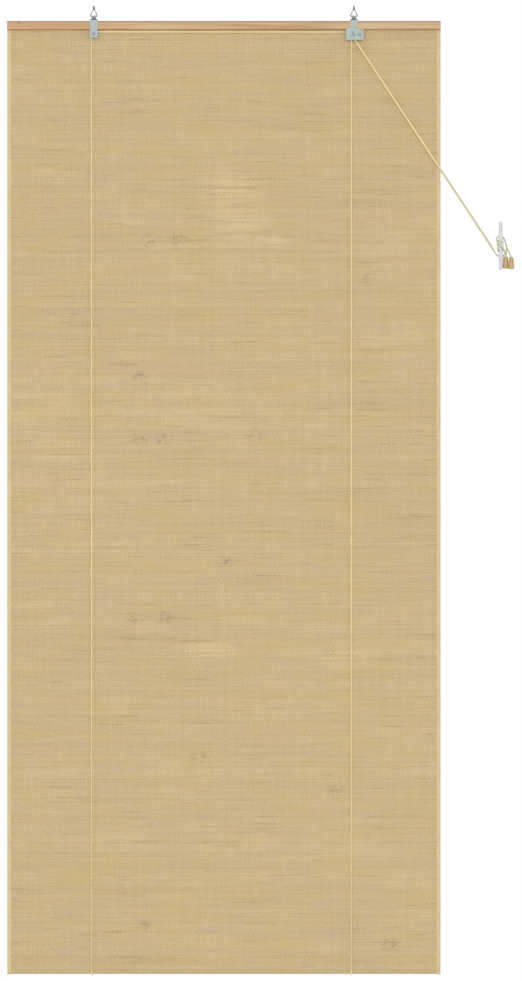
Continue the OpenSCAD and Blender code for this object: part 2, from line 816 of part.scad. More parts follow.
// Outline of a bar with round ends, standing along Z
module stadium(h, r) {
    translate([-r, -h / 2 + r]) square([2 * r, h - 2 * r]);
    for (z = [-h / 2 + r, h / 2 - r])
        translate([0, z]) circle(r);
}

module cleat_horn() {
    translate([0, horn_y, horn_start]) rotate([horn_lean, 0, 0]) {
        cylinder(h = horn_l, r1 = horn_r, r2 = horn_tip_r);
        translate([0, 0, horn_l]) sphere(horn_tip_r);
    }
}

module cleat() {
    color(white_plastic) translate([cleat_x, 0, -cleat_drop]) difference() {
        union() {
            along_y(wall_y - foot_t, wall_y) stadium(stem_h + 2 * foot_rim, stem_r + foot_rim);
            along_y(stem_face_y, wall_y) stadium(stem_h, stem_r);
            cleat_horn();
            mirror([0, 0, 1]) cleat_horn();
        }
        for (z = [-screw_pitch / 2, screw_pitch / 2])
            translate([0, wall_y + over, z]) rotate([90, 0, 0]) {
                cylinder(h = wall_y - stem_face_y + 2 * over, r = screw_hole_r);
                translate([0, 0, wall_y - stem_face_y + over - sink_h])
                    cylinder(h = sink_h + over, r1 = screw_hole_r, r2 = screw_sink_r + over);
            }
    }
}

// Turned bell with a cord bore and a hole for the knot
module pull(top) {
    e = pull_edge_r;
    mid = [pull_r - e, e - pull_h];
    neck = [pull_top_r, -pull_ease];
    // Where the flank runs into the round lower edge
    to_neck = neck - mid;
    a = atan2(to_neck.y, to_neck.x) - acos(e / norm(to_neck));
    color(turned_wood) translate(top) rotate_extrude() difference() {
        polygon(concat(
            [[0, -pull_h], [0, 0], [pull_top_r - pull_ease, 0], neck],
            arc(mid, e, a, -90 - a, corner_steps)
        ));
        translate([-over, -pull_h - over]) square([pull_bore_r + over, pull_h + 2 * over]);
        translate([-over, -pull_h - over]) square([knot_hole_r + over, knot_hole_h + over]);
    }
}
module left_pull() { pull(left_pull_top); }
module right_pull() { pull(right_pull_top); }

hung() head_rail();
hung() mat();
hung() left_edge_tape();
hung() right_edge_tape();
hung() mat_staples();
hung() left_bracket();
hung() left_axle();
hung() left_pulley();
hung() left_hanger();
hung() lock_bracket();
hung() lock_axle();
hung() lock_pulley();
hung() brake_rivet();
hung() brake_bush();
hung() right_hanger();
hung() bracket_nails();
hung() left_cord_eye();
hung() right_cord_eye();
hung() bottom_rail();
hung() bottom_hem();
hung() left_back_cord();
hung() right_back_cord();
hung() left_front_cord();
hung() right_front_cord();
hung() left_sling_cord();
hung() right_sling_cord();
hung() left_guide_cord();
hung() right_guide_cord();
hung() left_pull_cord();
hung() right_pull_cord();
hung() left_pull();
hung() right_pull();
hung() cleat();
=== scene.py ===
# %% [markdown]
# A bamboo roll up blind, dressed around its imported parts.
# The frame gives every part at its real size and place, in metres, with +Z up and the room at -Y.
# This lesson adds what a shop window would show: woven slats, twisted cord, zinc, pine and cotton.

# %% Load the frame
import json
import math

import bpy
import numpy as np
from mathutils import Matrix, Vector


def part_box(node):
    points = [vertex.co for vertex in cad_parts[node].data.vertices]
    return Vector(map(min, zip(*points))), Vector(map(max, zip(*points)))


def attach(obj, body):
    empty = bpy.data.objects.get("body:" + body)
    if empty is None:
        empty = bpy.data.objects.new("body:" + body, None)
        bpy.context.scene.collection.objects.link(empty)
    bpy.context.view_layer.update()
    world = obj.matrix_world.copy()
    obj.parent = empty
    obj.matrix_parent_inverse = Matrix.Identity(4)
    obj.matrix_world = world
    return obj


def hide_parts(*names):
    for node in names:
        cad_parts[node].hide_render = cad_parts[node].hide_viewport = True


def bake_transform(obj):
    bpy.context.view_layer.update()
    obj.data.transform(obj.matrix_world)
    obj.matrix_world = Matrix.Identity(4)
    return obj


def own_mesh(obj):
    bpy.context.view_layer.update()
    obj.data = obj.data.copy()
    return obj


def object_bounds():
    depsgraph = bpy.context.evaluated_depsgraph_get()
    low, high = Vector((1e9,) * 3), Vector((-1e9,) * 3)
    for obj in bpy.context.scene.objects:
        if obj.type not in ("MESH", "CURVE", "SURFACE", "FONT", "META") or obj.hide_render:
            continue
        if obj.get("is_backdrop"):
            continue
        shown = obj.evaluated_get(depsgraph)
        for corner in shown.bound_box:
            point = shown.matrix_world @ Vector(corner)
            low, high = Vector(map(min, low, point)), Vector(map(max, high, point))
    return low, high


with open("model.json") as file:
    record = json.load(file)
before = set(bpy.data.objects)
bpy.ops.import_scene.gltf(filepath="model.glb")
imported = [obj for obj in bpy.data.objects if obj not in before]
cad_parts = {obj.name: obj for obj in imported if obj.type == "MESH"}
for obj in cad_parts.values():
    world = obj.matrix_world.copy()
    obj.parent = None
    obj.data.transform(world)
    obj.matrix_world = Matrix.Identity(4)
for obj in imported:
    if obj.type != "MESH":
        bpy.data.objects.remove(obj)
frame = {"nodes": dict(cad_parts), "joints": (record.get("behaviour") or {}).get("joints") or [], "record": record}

cad_low, cad_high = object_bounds()
nodes = frame["nodes"]
rail_low, rail_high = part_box("head_rail")
mat_low, mat_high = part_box("mat")
hem_low, hem_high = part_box("bottom_hem")
pulley_low, pulley_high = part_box("left_pulley")
# Routes and sizes are told from the middle of the rail's top edge, in the plane of the pulleys
PULLEY_Y = (pulley_low.y + pulley_high.y) / 2
RAIL_TOP = rail_high.z
# Points nearer than this are one point, and a direction with more than this along an axis faces that way
SAME_PLACE = 1e-6
FACING = 0.9
print("frame:", len(nodes), "parts,", [round(v, 3) for v in cad_high - cad_low], "m overall")

# %% [markdown]
# The photograph looks straight at the blind from far away, so nothing converges.
# A long lens at several metres gives that flat look, and a perspective camera still works in other views.
# Three pixel lines of the photograph, set against the rail, fix the scale and the point to look at.

# %% Camera
PHOTO_W, PHOTO_H = 522, 981
RAIL_LEFT_PX, RAIL_RIGHT_PX, RAIL_TOP_PX = 7.35, 440.5, 21.6
LENS_MM, SENSOR_MM = 135, 36
metres_per_px = (rail_high.x - rail_low.x) / (RAIL_RIGHT_PX - RAIL_LEFT_PX)


def photo_point(px, py):
    """X and Z on the blind of a pixel of the photograph."""
    return (rail_low.x + (px - RAIL_LEFT_PX) * metres_per_px,
            RAIL_TOP + (RAIL_TOP_PX - py) * metres_per_px)


aim_x, aim_z = photo_point(PHOTO_W / 2, PHOTO_H / 2)
distance = PHOTO_H * metres_per_px / SENSOR_MM * LENS_MM
camera_data = bpy.data.cameras.new("camera")
camera_data.lens = LENS_MM
camera_data.sensor_width = SENSOR_MM
camera = bpy.data.objects.new("camera", camera_data)
camera.location = (aim_x, mat_low.y - distance, aim_z)
camera.rotation_euler = (math.radians(90), 0, 0)
bpy.context.scene.collection.objects.link(camera)
bpy.context.scene.camera = camera
print(f"camera: {distance:.2f} m away, {metres_per_px * 1000:.3f} mm to a pixel")

# %% [markdown]
# Materials are sums: a tone plus a grain, less a shadow.
# Blender draws such sums as Math nodes, one box for each sign, which is slow to read.
# Here a small class wraps a socket, so that a Python expression adds the boxes by itself.

# %% Shader maths
class Wire:
    """An output in a material's node tree. Operators on it add Math nodes."""

    def __init__(self, tree, out):
        self.tree = tree
        self.out = out

    def node(self, kind, inputs=None, output=0, **settings):
        """Adds any node, with its settings, then its sockets' values or links, and returns one output."""
        made = self.tree.nodes.new(kind)
        for name, value in settings.items():
            setattr(made, name, value)
        for name, value in (inputs or {}).items():
            if isinstance(value, Wire):
                self.tree.links.new(value.out, made.inputs[name])
            else:
                made.inputs[name].default_value = value
        return Wire(self.tree, made.outputs[output])

    def math(self, operation, *values):
        return self.node("ShaderNodeMath", dict(enumerate(values)), operation=operation)

    def __add__(self, other):
        return self.math("ADD", self, other)

    def __sub__(self, other):
        return self.math("SUBTRACT", self, other)

    def __rsub__(self, other):
        return self.math("SUBTRACT", other, self)

    def __mul__(self, other):
        return self.math("MULTIPLY", self, other)

    def __truediv__(self, other):
        return self.math("DIVIDE", self, other)

    __radd__ = __add__
    __rmul__ = __mul__

    def step(self, low, high):
        """0 below low, 1 above high and a smooth rise between them."""
        return self.node("ShaderNodeMapRange", {"Value": self, "From Min": low, "From Max": high},
                         interpolation_type="SMOOTHSTEP")

    def blend(self, first, second):
        """The first colour where this is 0 and the second where it is 1."""
        return self.node("ShaderNodeMix", {0: self, 6: first, 7: second}, output=2, data_type="RGBA")

    def vector(self, x, y, z):
        return self.node("ShaderNodeCombineXYZ", {"X": x, "Y": y, "Z": z})

    def noise(self, place, scale=1.0, detail=2.0, rough=0.5):
        return self.node("ShaderNodeTexNoise",
                         {"Vector": place, "Scale": scale, "Detail": detail, "Roughness": rough})

    def bump(self, height, strength, depth):
        return self.node("ShaderNodeBump", {"Height": height, "Strength": strength, "Distance": depth})


def srgb(red, green, blue):
    """A colour as a picture file counts it, from 0 to 255, as the light it stands for."""
    def light(v):
        v = v / 255
        return v / 12.92 if v <= 0.04045 else ((v + 0.055) / 1.055) ** 2.4
    return (light(red), light(green), light(blue), 1)


def new_material(name, **constants):
    """A material with its fixed values set, the place on the piece, and that place's X, Y and Z."""
    made = bpy.data.materials.new(name)
    made.use_nodes = True
    shader = made.node_tree.nodes["Principled BSDF"]
    for socket, value in constants.items():
        shader.inputs[socket.replace("_", " ")].default_value = value
    place = Wire(made.node_tree, None).node("ShaderNodeTexCoord", output="Object")
    axes = [place.node("ShaderNodeSeparateXYZ", {"Vector": place}, output=axis) for axis in "XYZ"]
    return made, shader, place, axes


def paint(shader, **wires):
    """Links what changes over the surface to the shader."""
    for socket, wire in wires.items():
        wire.tree.links.new(wire.out, shader.inputs[socket.replace("_", " ")])


def stained(colour, *stains):
    """A colour with stains laid over it in turn, each given as a mask, a strength and its own colour."""
    for mask, strength, stain in stains:
        colour = (mask * strength).blend(colour, stain)
    return colour


def spot(x, z, px, py, width, height):
    """1 at a pixel of the photograph, falling to 0 over a width and a height on the blind."""
    spot_x, spot_z = photo_point(px, py)
    away = z.node("ShaderNodeVectorMath",
                  {0: z.vector(x / width, 0, z / height), 1: (spot_x / width, 0, spot_z / height)},
                  output="Value", operation="DISTANCE")
    return 1 - away.step(0, 1)


print("shader maths: ready")

# %% [markdown]
# The lift cord is limp twisted cotton of 3 mm. Each end starts in a knot above a screw eye, runs down
# behind the mat, under the hem, up in front and over a pulley, then through the lock to the cleat.
# It is split into runs, because the runs beside the mat shorten as the hem rises.
# The two guide runs go over the pulleys, and the lock's pulley slides up when it lets go.
# The points keep close to those of the imported cord. A tube follows them, with its corners rounded off.

# %% Cord routes
CORD_D = 0.003
LEFT_X, RIGHT_X = -305, 294
LEFT_EYE_X, RIGHT_EYE_X = -318, 282
EYE_Y, EYE_TOP, EYE_LOW = 13.3, -4, -20
SLING_FRONT_Y, SLING_BACK_Y = 5.15, 18.85
RUN_TOP, RUN_BOTTOM, SLING_TOP = -30, -2188, -2188
GUIDE_LOW = -45
# Behind the mat the cord stands off here, so that it clears the hem's back when that comes up
BACK_BEND_Y, BACK_BEND_Z = 18.6, -1754
LEFT_BEND_X, RIGHT_BEND_X = -307.6, 291.6
# The lock's pulley has a groove for each cord, and both leave the lock at one place
LEFT_PULLEY_X, LOCK_PULLEY_X, PULLEY_TOP = -300, 299, -24.7
LEFT_GROOVE_Y, RIGHT_GROOVE_Y, RIGHT_FRONT_Y = 2.2, -2.2, -2.15
LOCK_EXIT_X, LOCK_EXIT_Z = 304, -45.9


def in_metres(points):
    """Points in millimetres from the middle of the rail's top edge, as places in the frame."""
    return [Vector((x / 1000, PULLEY_Y + y / 1000, RAIL_TOP + z / 1000)) for x, y, z in points]


def back_run(eye_x, bend_x, x):
    """From the screw eye down behind the mat to the sling."""
    return [(eye_x, EYE_Y, EYE_TOP), (eye_x, EYE_Y, EYE_LOW), (bend_x, BACK_BEND_Y, BACK_BEND_Z),
            (x, SLING_BACK_Y, RUN_BOTTOM)]


def sling(x):
    """Down the front of the hem, round below it and up its back."""
    return [(x, SLING_FRONT_Y, SLING_TOP), (x, SLING_FRONT_Y, -2195), (x, 6.07, -2198.43),
            (x, 8.575, -2200.93), (x, 12, -2201.85), (x, 15.425, -2200.93), (x, 17.93, -2198.43),
            (x, SLING_BACK_Y, -2195), (x, SLING_BACK_Y, SLING_TOP)]


def onto_pulley(x, y):
    """Up the left side of a pulley to its top."""
    return [(x - 4.6, y, -27.4), (x - 2.7, y, -25.4), (x, y, PULLEY_TOP)]


def off_pulley(x, y):
    """From the top of a pulley down its right side."""
    return [(x, y, PULLEY_TOP), (x + 2.7, y, -25.4), (x + 4.6, y, -27.4), (x + 5.2, y, RUN_TOP)]


# Round the cleat: behind its stem, across its front and behind it again
winding = [
    (618, 4.3, -522), (626, 7.5, -534), (633, 11.8, -541), (640, 13.8, -543), (647, 11, -540),
    (649.5, 5, -533), (646, -0.6, -526), (639.5, -1.7, -518.5), (631.6, -0.5, -510), (628.5, 6, -502.5),
    (632, 11.5, -496.5), (639, 13.8, -494.5), (645.5, 11, -498), (650, 7.5, -508), (653.5, 5, -523),
]
# The left cord's turns lie behind the right one's
CORD_STEP_Y = 4
SIDE_STEP_X, SIDE_STEP_Z = 1.5, 1
first_x, first_y, first_z = winding[0]
routes = {
    "left_back_cord": back_run(LEFT_EYE_X, LEFT_BEND_X, LEFT_X),
    "right_back_cord": back_run(RIGHT_EYE_X, RIGHT_BEND_X, RIGHT_X),
    "left_front_cord": [(LEFT_X, 0, RUN_TOP), (LEFT_X, SLING_FRONT_Y, RUN_BOTTOM)],
    "right_front_cord": [(RIGHT_X, RIGHT_FRONT_Y, GUIDE_LOW), (RIGHT_X, SLING_FRONT_Y, RUN_BOTTOM)],
    "left_sling_cord": sling(LEFT_X),
    "right_sling_cord": sling(RIGHT_X),
    "left_guide_cord": [
        (LEFT_X, 0, RUN_TOP), *onto_pulley(LEFT_PULLEY_X, 0), *off_pulley(LOCK_PULLEY_X, LEFT_GROOVE_Y),
        (LOCK_EXIT_X, LEFT_GROOVE_Y, GUIDE_LOW)],
    "right_guide_cord": [
        (RIGHT_X, RIGHT_FRONT_Y, GUIDE_LOW), (RIGHT_X, RIGHT_GROOVE_Y, RUN_TOP),
        *onto_pulley(LOCK_PULLEY_X, RIGHT_GROOVE_Y), *off_pulley(LOCK_PULLEY_X, RIGHT_GROOVE_Y)[1:],
        (LOCK_EXIT_X, RIGHT_GROOVE_Y, GUIDE_LOW)],
    "left_pull_cord": [
        (LOCK_EXIT_X, LEFT_GROOVE_Y, GUIDE_LOW), (LOCK_EXIT_X, LEFT_GROOVE_Y, LOCK_EXIT_Z),
        (304.8, LEFT_GROOVE_Y, -47.4), (307.5, LEFT_GROOVE_Y, -49.8), (504, 4.7, -346.3),
        (first_x + SIDE_STEP_X, first_y + CORD_STEP_Y, first_z + SIDE_STEP_Z),
        *[(x, y + CORD_STEP_Y, z) for x, y, z in winding[1:]],
        (652.5, 11.5, -533.5), (650.8, 13.3, -541.8), (650.8, 13.3, -550), (650.8, 13.3, -565)],
    "right_pull_cord": [
        (LOCK_EXIT_X, RIGHT_GROOVE_Y, GUIDE_LOW), (LOCK_EXIT_X, RIGHT_GROOVE_Y, LOCK_EXIT_Z),
        (304.5, RIGHT_GROOVE_Y, -47.8), (306, -2.1, -50.2), *winding,
        (658.5, 3.5, -534), (662.8, 2, -543.5), (662.8, 2, -549), (662.8, 2, -568)],
}
# From where a guide stays with the rail, to where it stays with the lock's pulley
bends = {
    "left_guide_cord": [(292.9, 0, -40.8), (LOCK_PULLEY_X, 0, PULLEY_TOP)],
    "right_guide_cord": [(LOCK_PULLEY_X, 0, GUIDE_LOW), (LOCK_PULLEY_X, 0, RUN_TOP)],
}
print("cord routes:", {name: len(points) for name, points in routes.items()})

# %% [markdown]
# A twisted cord shows three strands that wind round each other about every 7 mm.
# On 11 m of cord, strands as geometry would cost more faces than all the rest.
# The tube therefore carries a UV map whose U counts turns along the cord, and the material winds on it.
# The runs on the mat's front get painted light, palest near the rail. Beyond the mat the cord gets painted shade,
# a grey.

# %% Cord tubes
CORD_SIDES = 10
STRAND_TURN = 0.007
CORNER_REACH = 0.008
CORNER_STEPS = 5


def rounded(points):
    """The same route with each corner replaced by a short arc that keeps straight runs straight."""
    path = [points[0]]
    for before, here, after in zip(points, points[1:], points[2:]):
        reach = min(CORNER_REACH, (here - before).length / 2, (after - here).length / 2)
        start = here + (before - here).normalized() * reach
        end = here + (after - here).normalized() * reach
        for i in range(CORNER_STEPS + 1):
            t = i / CORNER_STEPS
            path.append(start.lerp(here, t).lerp(here.lerp(end, t), t))
    path.append(points[-1])
    return [p for i, p in enumerate(path) if i == 0 or (p - path[i - 1]).length > SAME_PLACE]


def path_length(path):
    """The length of a path through its points."""
    return sum((b - a).length for a, b in zip(path, path[1:]))


def cord_tube(name, path, radius, run=0.0):
    """A closed round tube along a path, with U counting turns of the strands and V going round."""
    rings, turns, side = [], [], None
    for i, here in enumerate(path):
        ahead = (path[min(i + 1, len(path) - 1)] - here).normalized()
        behind = (here - path[max(i - 1, 0)]).normalized()
        along = (ahead + behind).normalized()
        if side is None:
            side = along.cross(Vector((1, 0, 0) if abs(along.x) < FACING else (0, 1, 0)))
        side = (side - along * side.dot(along)).normalized()
        other = along.cross(side)
        run += (here - path[max(i - 1, 0)]).length
        turns.append(run / STRAND_TURN)
        angles = [2 * math.pi * k / CORD_SIDES for k in range(CORD_SIDES)]
        rings += [here + radius * (math.cos(a) * side + math.sin(a) * other) for a in angles]
    faces, uvs = [], []
    for i in range(len(path) - 1):
        for k in range(CORD_SIDES):
            a, b = i * CORD_SIDES + k, i * CORD_SIDES + (k + 1) % CORD_SIDES
            faces.append((a, b, b + CORD_SIDES, a + CORD_SIDES))
            uvs += [(turns[i], k / CORD_SIDES), (turns[i], (k + 1) / CORD_SIDES),
                    (turns[i + 1], (k + 1) / CORD_SIDES), (turns[i + 1], k / CORD_SIDES)]
    last = (len(path) - 1) * CORD_SIDES
    faces += [tuple(range(CORD_SIDES))[::-1], tuple(range(last, last + CORD_SIDES))]
    uvs += [(0, 0)] * (2 * CORD_SIDES)
    mesh = bpy.data.meshes.new(name)
    mesh.from_pydata(rings, [], faces)
    layer = mesh.uv_layers.new(name="Twist")
    layer.uv.foreach_set("vector", np.array(uvs, np.float32).ravel())
    mesh.polygons.foreach_set("use_smooth", [True] * (len(faces) - 2) + [False] * 2)
    piece = bpy.data.objects.new(name, mesh)
    bpy.context.scene.collection.objects.link(piece)
    return piece


lift = next(joint for joint in frame["joints"] if joint["name"] == "lift")
LIFT_TRAVEL = lift["range_m"][1]


def shorten_with_lift(piece, top, bottom):
    """Gives the piece a mesh of its own. The share of its length that it would keep at full lift is worked out and
    not used.
    """
    1 - LIFT_TRAVEL / (top - bottom)
    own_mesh(piece)


def dress(piece, material, body, slot, *stands_for, bend=None):
    """Gives a finished piece its material and, without bend, its body, and hides the parts that it stands for.
    With bend, its place is put into its mesh instead. The slot is not used.
    """
    piece.data.materials.clear()
    piece.data.materials.append(material)
    if bend:
        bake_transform(piece)
    else:
        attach(piece, body)
    if stands_for:
        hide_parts(*stands_for)


cord_material, cord_shader, cord_place, (cord_x, _, cord_z) = new_material(
    "twisted_cotton", Roughness=0.85, Sheen_Weight=0.25, Specular_IOR_Level=0.25)
STRANDS = 3
CORD_PALE, CORD_DEEP = srgb(252, 234, 178), srgb(227, 204, 142)
CORD_TOP_LIGHT, CORD_GREY_SHADE = srgb(255, 241, 188), srgb(170, 182, 153)
TOP_LIGHT_LOW, TOP_LIGHT_HIGH, TOP_LIGHT_SHARE = -0.85, -0.1, 0.8
# The front runs lie to the left of this band and the pull cords to its right
PULL_FROM_X, PULL_TO_X = 0.297, 0.303
BEYOND_MAT_REACH, BEYOND_MAT_SHARE = 0.03, 0.55
uv = cord_place.node("ShaderNodeUVMap", uv_map="Twist")
turn = uv.node("ShaderNodeSeparateXYZ", {"Vector": uv}, output="X")
around = uv.node("ShaderNodeSeparateXYZ", {"Vector": uv}, output="Y")
wound = (turn + around * STRANDS) * math.pi
strand = wound.math("ABSOLUTE", wound.math("SINE", wound))
fuzz = cord_place.noise(cord_place, scale=2500, detail=3)
# Painted shade darkens the grooves between the strands; the fuzz is the cotton's own change of tone
cord_shade = (strand * 0.75 + fuzz * 0.35).step(0.1, 0.85)
# Painted light on the runs in front of the mat, growing towards the rail
top_light = cord_z.step(TOP_LIGHT_LOW, TOP_LIGHT_HIGH) * (1 - cord_x.step(PULL_FROM_X, PULL_TO_X))
# Painted shade: the cord turns grey beyond the mat's right edge
beyond_mat_shade = cord_x.step(mat_high.x - BEYOND_MAT_REACH, mat_high.x + BEYOND_MAT_REACH)
cord_colour = stained(cord_shade.blend(CORD_DEEP, CORD_PALE), (top_light, TOP_LIGHT_SHARE, CORD_TOP_LIGHT),
                      (beyond_mat_shade, BEYOND_MAT_SHARE, CORD_GREY_SHADE))
paint(cord_shader, Base_Color=cord_colour, Normal=cord_place.bump(strand + fuzz * 0.3, 0.25, 0.0004))

cord_paths = {name: rounded(in_metres(points)) for name, points in routes.items()}
runs_before = {"sling": "front", "pull": "guide"}
cords = {}
for name, path in cord_paths.items():
    side, run, _ = name.split("_")
    before = f"{side}_{runs_before[run]}_cord" if run in runs_before else None
    laid = path_length(cord_paths[before]) if before else 0.0
    cords[name] = cord_tube(name + "_twist", path, CORD_D / 2, laid)
for name, piece in cords.items():
    dress(piece, cord_material, "bottom" if "sling" in name else "head", "cord", name,
          bend=in_metres(bends[name]) if name in bends else None)
for name in ("left_back_cord", "right_back_cord", "left_front_cord", "right_front_cord"):
    shorten_with_lift(cords[name], cord_paths[name][0].z, cord_paths[name][-1].z)
print("cords:", {name: round(path_length(path), 3) for name, path in cord_paths.items()}, "m")

# %% [markdown]
# A knot above the screw eye keeps each cord from slipping down through it, and one in the wooden pull
# keeps that on.
# An overhand knot pulled tight is close to a trefoil, a curve that three sines give.
# The same tube follows that curve, drawn small enough to sit on the eye or in the pull's hole.

# %% Knots
KNOT_POINTS = 48
KNOT_R, KNOT_H = 0.00085, 0.0011
# A cord pulled tight is a little thinner
KNOT_CORD_R = CORD_D * 0.42


def knot(name, at):
    """A small knot of cord about a place."""
    path = []
    for i in range(KNOT_POINTS + 1):
        t = 2 * math.pi * i / KNOT_POINTS
        path.append(at + Vector(((math.sin(t) + 2 * math.sin(2 * t)) * KNOT_R,
                                 (math.cos(t) - 2 * math.cos(2 * t)) * KNOT_R, -math.sin(3 * t) * KNOT_H)))
    piece = cord_tube(name, path, KNOT_CORD_R)
    dress(piece, cord_material, "head", "cord")
    return piece


EYE_KNOT_Z = 0.0035
PULL_KNOT_Z = 0.004
knots = {}
for side in ("left", "right"):
    knots[side + "_back_cord"] = knot(side + "_eye_knot",
                                      cord_paths[side + "_back_cord"][0] - Vector((0, 0, EYE_KNOT_Z)))
    pull_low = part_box(side + "_pull")[0]
    end = cord_paths[side + "_pull_cord"][-1]
    knots[side + "_pull_cord"] = knot(side + "_pull_knot", Vector((end.x, end.y, pull_low.z + PULL_KNOT_Z)))
print("knots:", sorted(piece.name for piece in knots.values()))

# %% [markdown]
# A pull cord ends in a wooden pull, and every other run ends on the blind itself.

for name, piece in cords.items():
    path = cord_paths[name]
    far_end = "fitting" if "pull" in name else "object"
    extra = [knots[name]] if name in knots else []
    if "pull" in name:
        extra.append(nodes[name.replace("_cord", "")])
    path_length(path)
print("declared:", len(cords), "cords")

# %% [markdown]
# The mat is split bamboo: flat slats lie side by side, and cotton threads are woven over and under them.
# Every slat is a thin six-sided bar, and a crack of light is left between it and the next.
# One bar is modelled and flattened, and an Array sets out the rest, as the loom does.

# %% Slats
SLAT_PITCH_WANTED = 0.00341
SLAT_T = 0.0006
# Share of the pitch that is bamboo, and the rest is the crack
SLAT_SHARE = 0.975
slat_count = round((mat_high.z - mat_low.z) / SLAT_PITCH_WANTED)
SLAT_PITCH = (mat_high.z - mat_low.z) / slat_count
mat_y = (mat_low.y + mat_high.y) / 2


def start_object_mode():
    """Leaves edit mode and deselects everything, so that an operator acts on the new piece alone."""
    if bpy.context.object and bpy.context.object.mode != "OBJECT":
        bpy.ops.object.mode_set(mode="OBJECT")
    bpy.ops.object.select_all(action="DESELECT")


def named(name):
    """The piece just added, with its name and its place put into its mesh."""
    piece = bpy.context.object
    piece.name = piece.data.name = name
    bpy.ops.object.transform_apply(location=True, rotation=True, scale=True)
    return piece


def apply_array(piece, count, offset, merge=False):
    """Repeats the piece along an offset and makes the copies real."""
    array = piece.modifiers.new("repeat", "ARRAY")
    array.count = count
    array.use_relative_offset = False
    array.use_constant_offset = True
    array.constant_offset_displace = offset
    array.use_merge_vertices = merge
    array.merge_threshold = SAME_PLACE
    bpy.context.view_layer.objects.active = piece
    bpy.ops.object.modifier_apply(modifier=array.name)


def start_edit(piece, kind, wanted):
    """Enters edit mode with only those faces or edges selected that a test picks."""
    bpy.ops.object.mode_set(mode="EDIT")
    bpy.ops.mesh.select_mode(type=kind)
    bpy.ops.mesh.select_all(action="DESELECT")
    bpy.ops.object.mode_set(mode="OBJECT")
    for element in piece.data.polygons if kind == "FACE" else piece.data.edges:
        element.select = wanted(element)
    bpy.ops.object.mode_set(mode="EDIT")


def slat_band(name, top, count, pitch, y):
    """Slats of the mat's width, stacked down from a height."""
    start_object_mode()
    radius = SLAT_SHARE * pitch / 2 / math.cos(math.radians(30))
    bpy.ops.mesh.primitive_cylinder_add(
        vertices=6, radius=radius, depth=mat_high.x - mat_low.x, rotation=(0, math.radians(90), 0),
        location=(0, y, top - pitch / 2))
    bpy.context.object.scale = (1, SLAT_T / (2 * radius), 1)
    piece = named(name)
    apply_array(piece, count, (0, 0, -pitch))
    return piece


slats = slat_band("mat_slats", mat_high.z, slat_count, SLAT_PITCH, mat_y)
print("slats:", slat_count, "at", round(SLAT_PITCH * 1000, 3), "mm;", len(slats.data.polygons), "faces")

# %% [markdown]
# Each thread goes in front of one slat and behind the next, and its neighbour does the opposite.
# A three-sided tube, flat side to the front, is enough for a thread two millimetres wide.
# One wave of a thread is extruded from a triangle. Arrays repeat it down the mat and then across it.

# %% Threads
THREAD_W, THREAD_T = 0.002, 0.0006
THREAD_SPACING_WANTED = 0.005
THREAD_PIECES = 4
mat_width = mat_high.x - mat_low.x
thread_count = round(mat_width / THREAD_SPACING_WANTED / (2 * THREAD_PIECES)) * 2 * THREAD_PIECES
thread_spacing = mat_width / thread_count
THREAD_SWING = (SLAT_T + THREAD_T) / 2


def thread(x, top, count, pitch, y, first):
    """One thread down a band of slats, in front of its first slat where first is -1."""
    start_object_mode()
    # A triangle of this radius has sides as long as the thread is wide
    radius = THREAD_W / math.sqrt(3)
    bpy.ops.mesh.primitive_circle_add(vertices=3, radius=radius, fill_type="NOTHING",
                                      location=(x, y + first * THREAD_SWING, top - pitch / 2))
    bpy.context.object.scale = (1, THREAD_T / (1.5 * radius), 1)
    bpy.ops.object.transform_apply(location=False, rotation=False, scale=True)
    bpy.ops.object.mode_set(mode="EDIT")
    for swing in (-2 * first * THREAD_SWING, 2 * first * THREAD_SWING):
        bpy.ops.mesh.extrude_region_move(TRANSFORM_OT_translate={"value": (0, swing, -pitch)})
    bpy.ops.object.mode_set(mode="OBJECT")
    piece = named("thread")
    apply_array(piece, count // 2, (0, 0, -2 * pitch), merge=True)
    bpy.ops.object.mode_set(mode="EDIT")
    bpy.ops.mesh.select_all(action="SELECT")
    bpy.ops.mesh.fill_holes(sides=3)
    bpy.ops.mesh.normals_make_consistent(inside=False)
    bpy.ops.object.mode_set(mode="OBJECT")
    return piece


def thread_band(name, left, threads, top, count, pitch, y, first=-1):
    """An even number of threads side by side, with every second one a slat out of step."""
    start = left + thread_spacing / 2
    over = thread(start, top, count, pitch, y, first)
    under = thread(start + thread_spacing, top, count, pitch, y, -first)
    start_object_mode()
    over.select_set(True)
    under.select_set(True)
    bpy.context.view_layer.objects.active = over
    bpy.ops.object.join()
    over.name = over.data.name = name
    apply_array(over, threads // 2, (2 * thread_spacing, 0, 0))
    bpy.ops.object.shade_smooth()
    return over


threads_each = thread_count // THREAD_PIECES
thread_bands = [
    thread_band(f"mat_threads_{i + 1}", mat_low.x + i * threads_each * thread_spacing, threads_each,
                mat_high.z, slat_count, SLAT_PITCH, mat_y)
    for i in range(THREAD_PIECES)]
print("threads:", thread_count, "at", round(thread_spacing * 1000, 3), "mm;",
      sum(len(band.data.polygons) for band in thread_bands), "faces")

# %% [markdown]
# The lower end of the mat is folded round the bottom batten and sewn, which makes the hem.
# It is woven in the same way, so the same two functions make a flat band of it.
# The band is then wrapped: the distance down the band becomes a place along the fold's U.

# %% Hem
HEM_SLATS = 24
hem_fold_r = (hem_high.y - hem_low.y) / 2 - (mat_high.y - mat_low.y) / 2
hem_fold_y = (hem_low.y + hem_high.y) / 2
hem_fold_z = hem_low.z + (hem_high.y - hem_low.y) / 2
hem_leaf = hem_high.z - hem_fold_z
hem_pitch = (2 * hem_leaf + math.pi * hem_fold_r) / HEM_SLATS


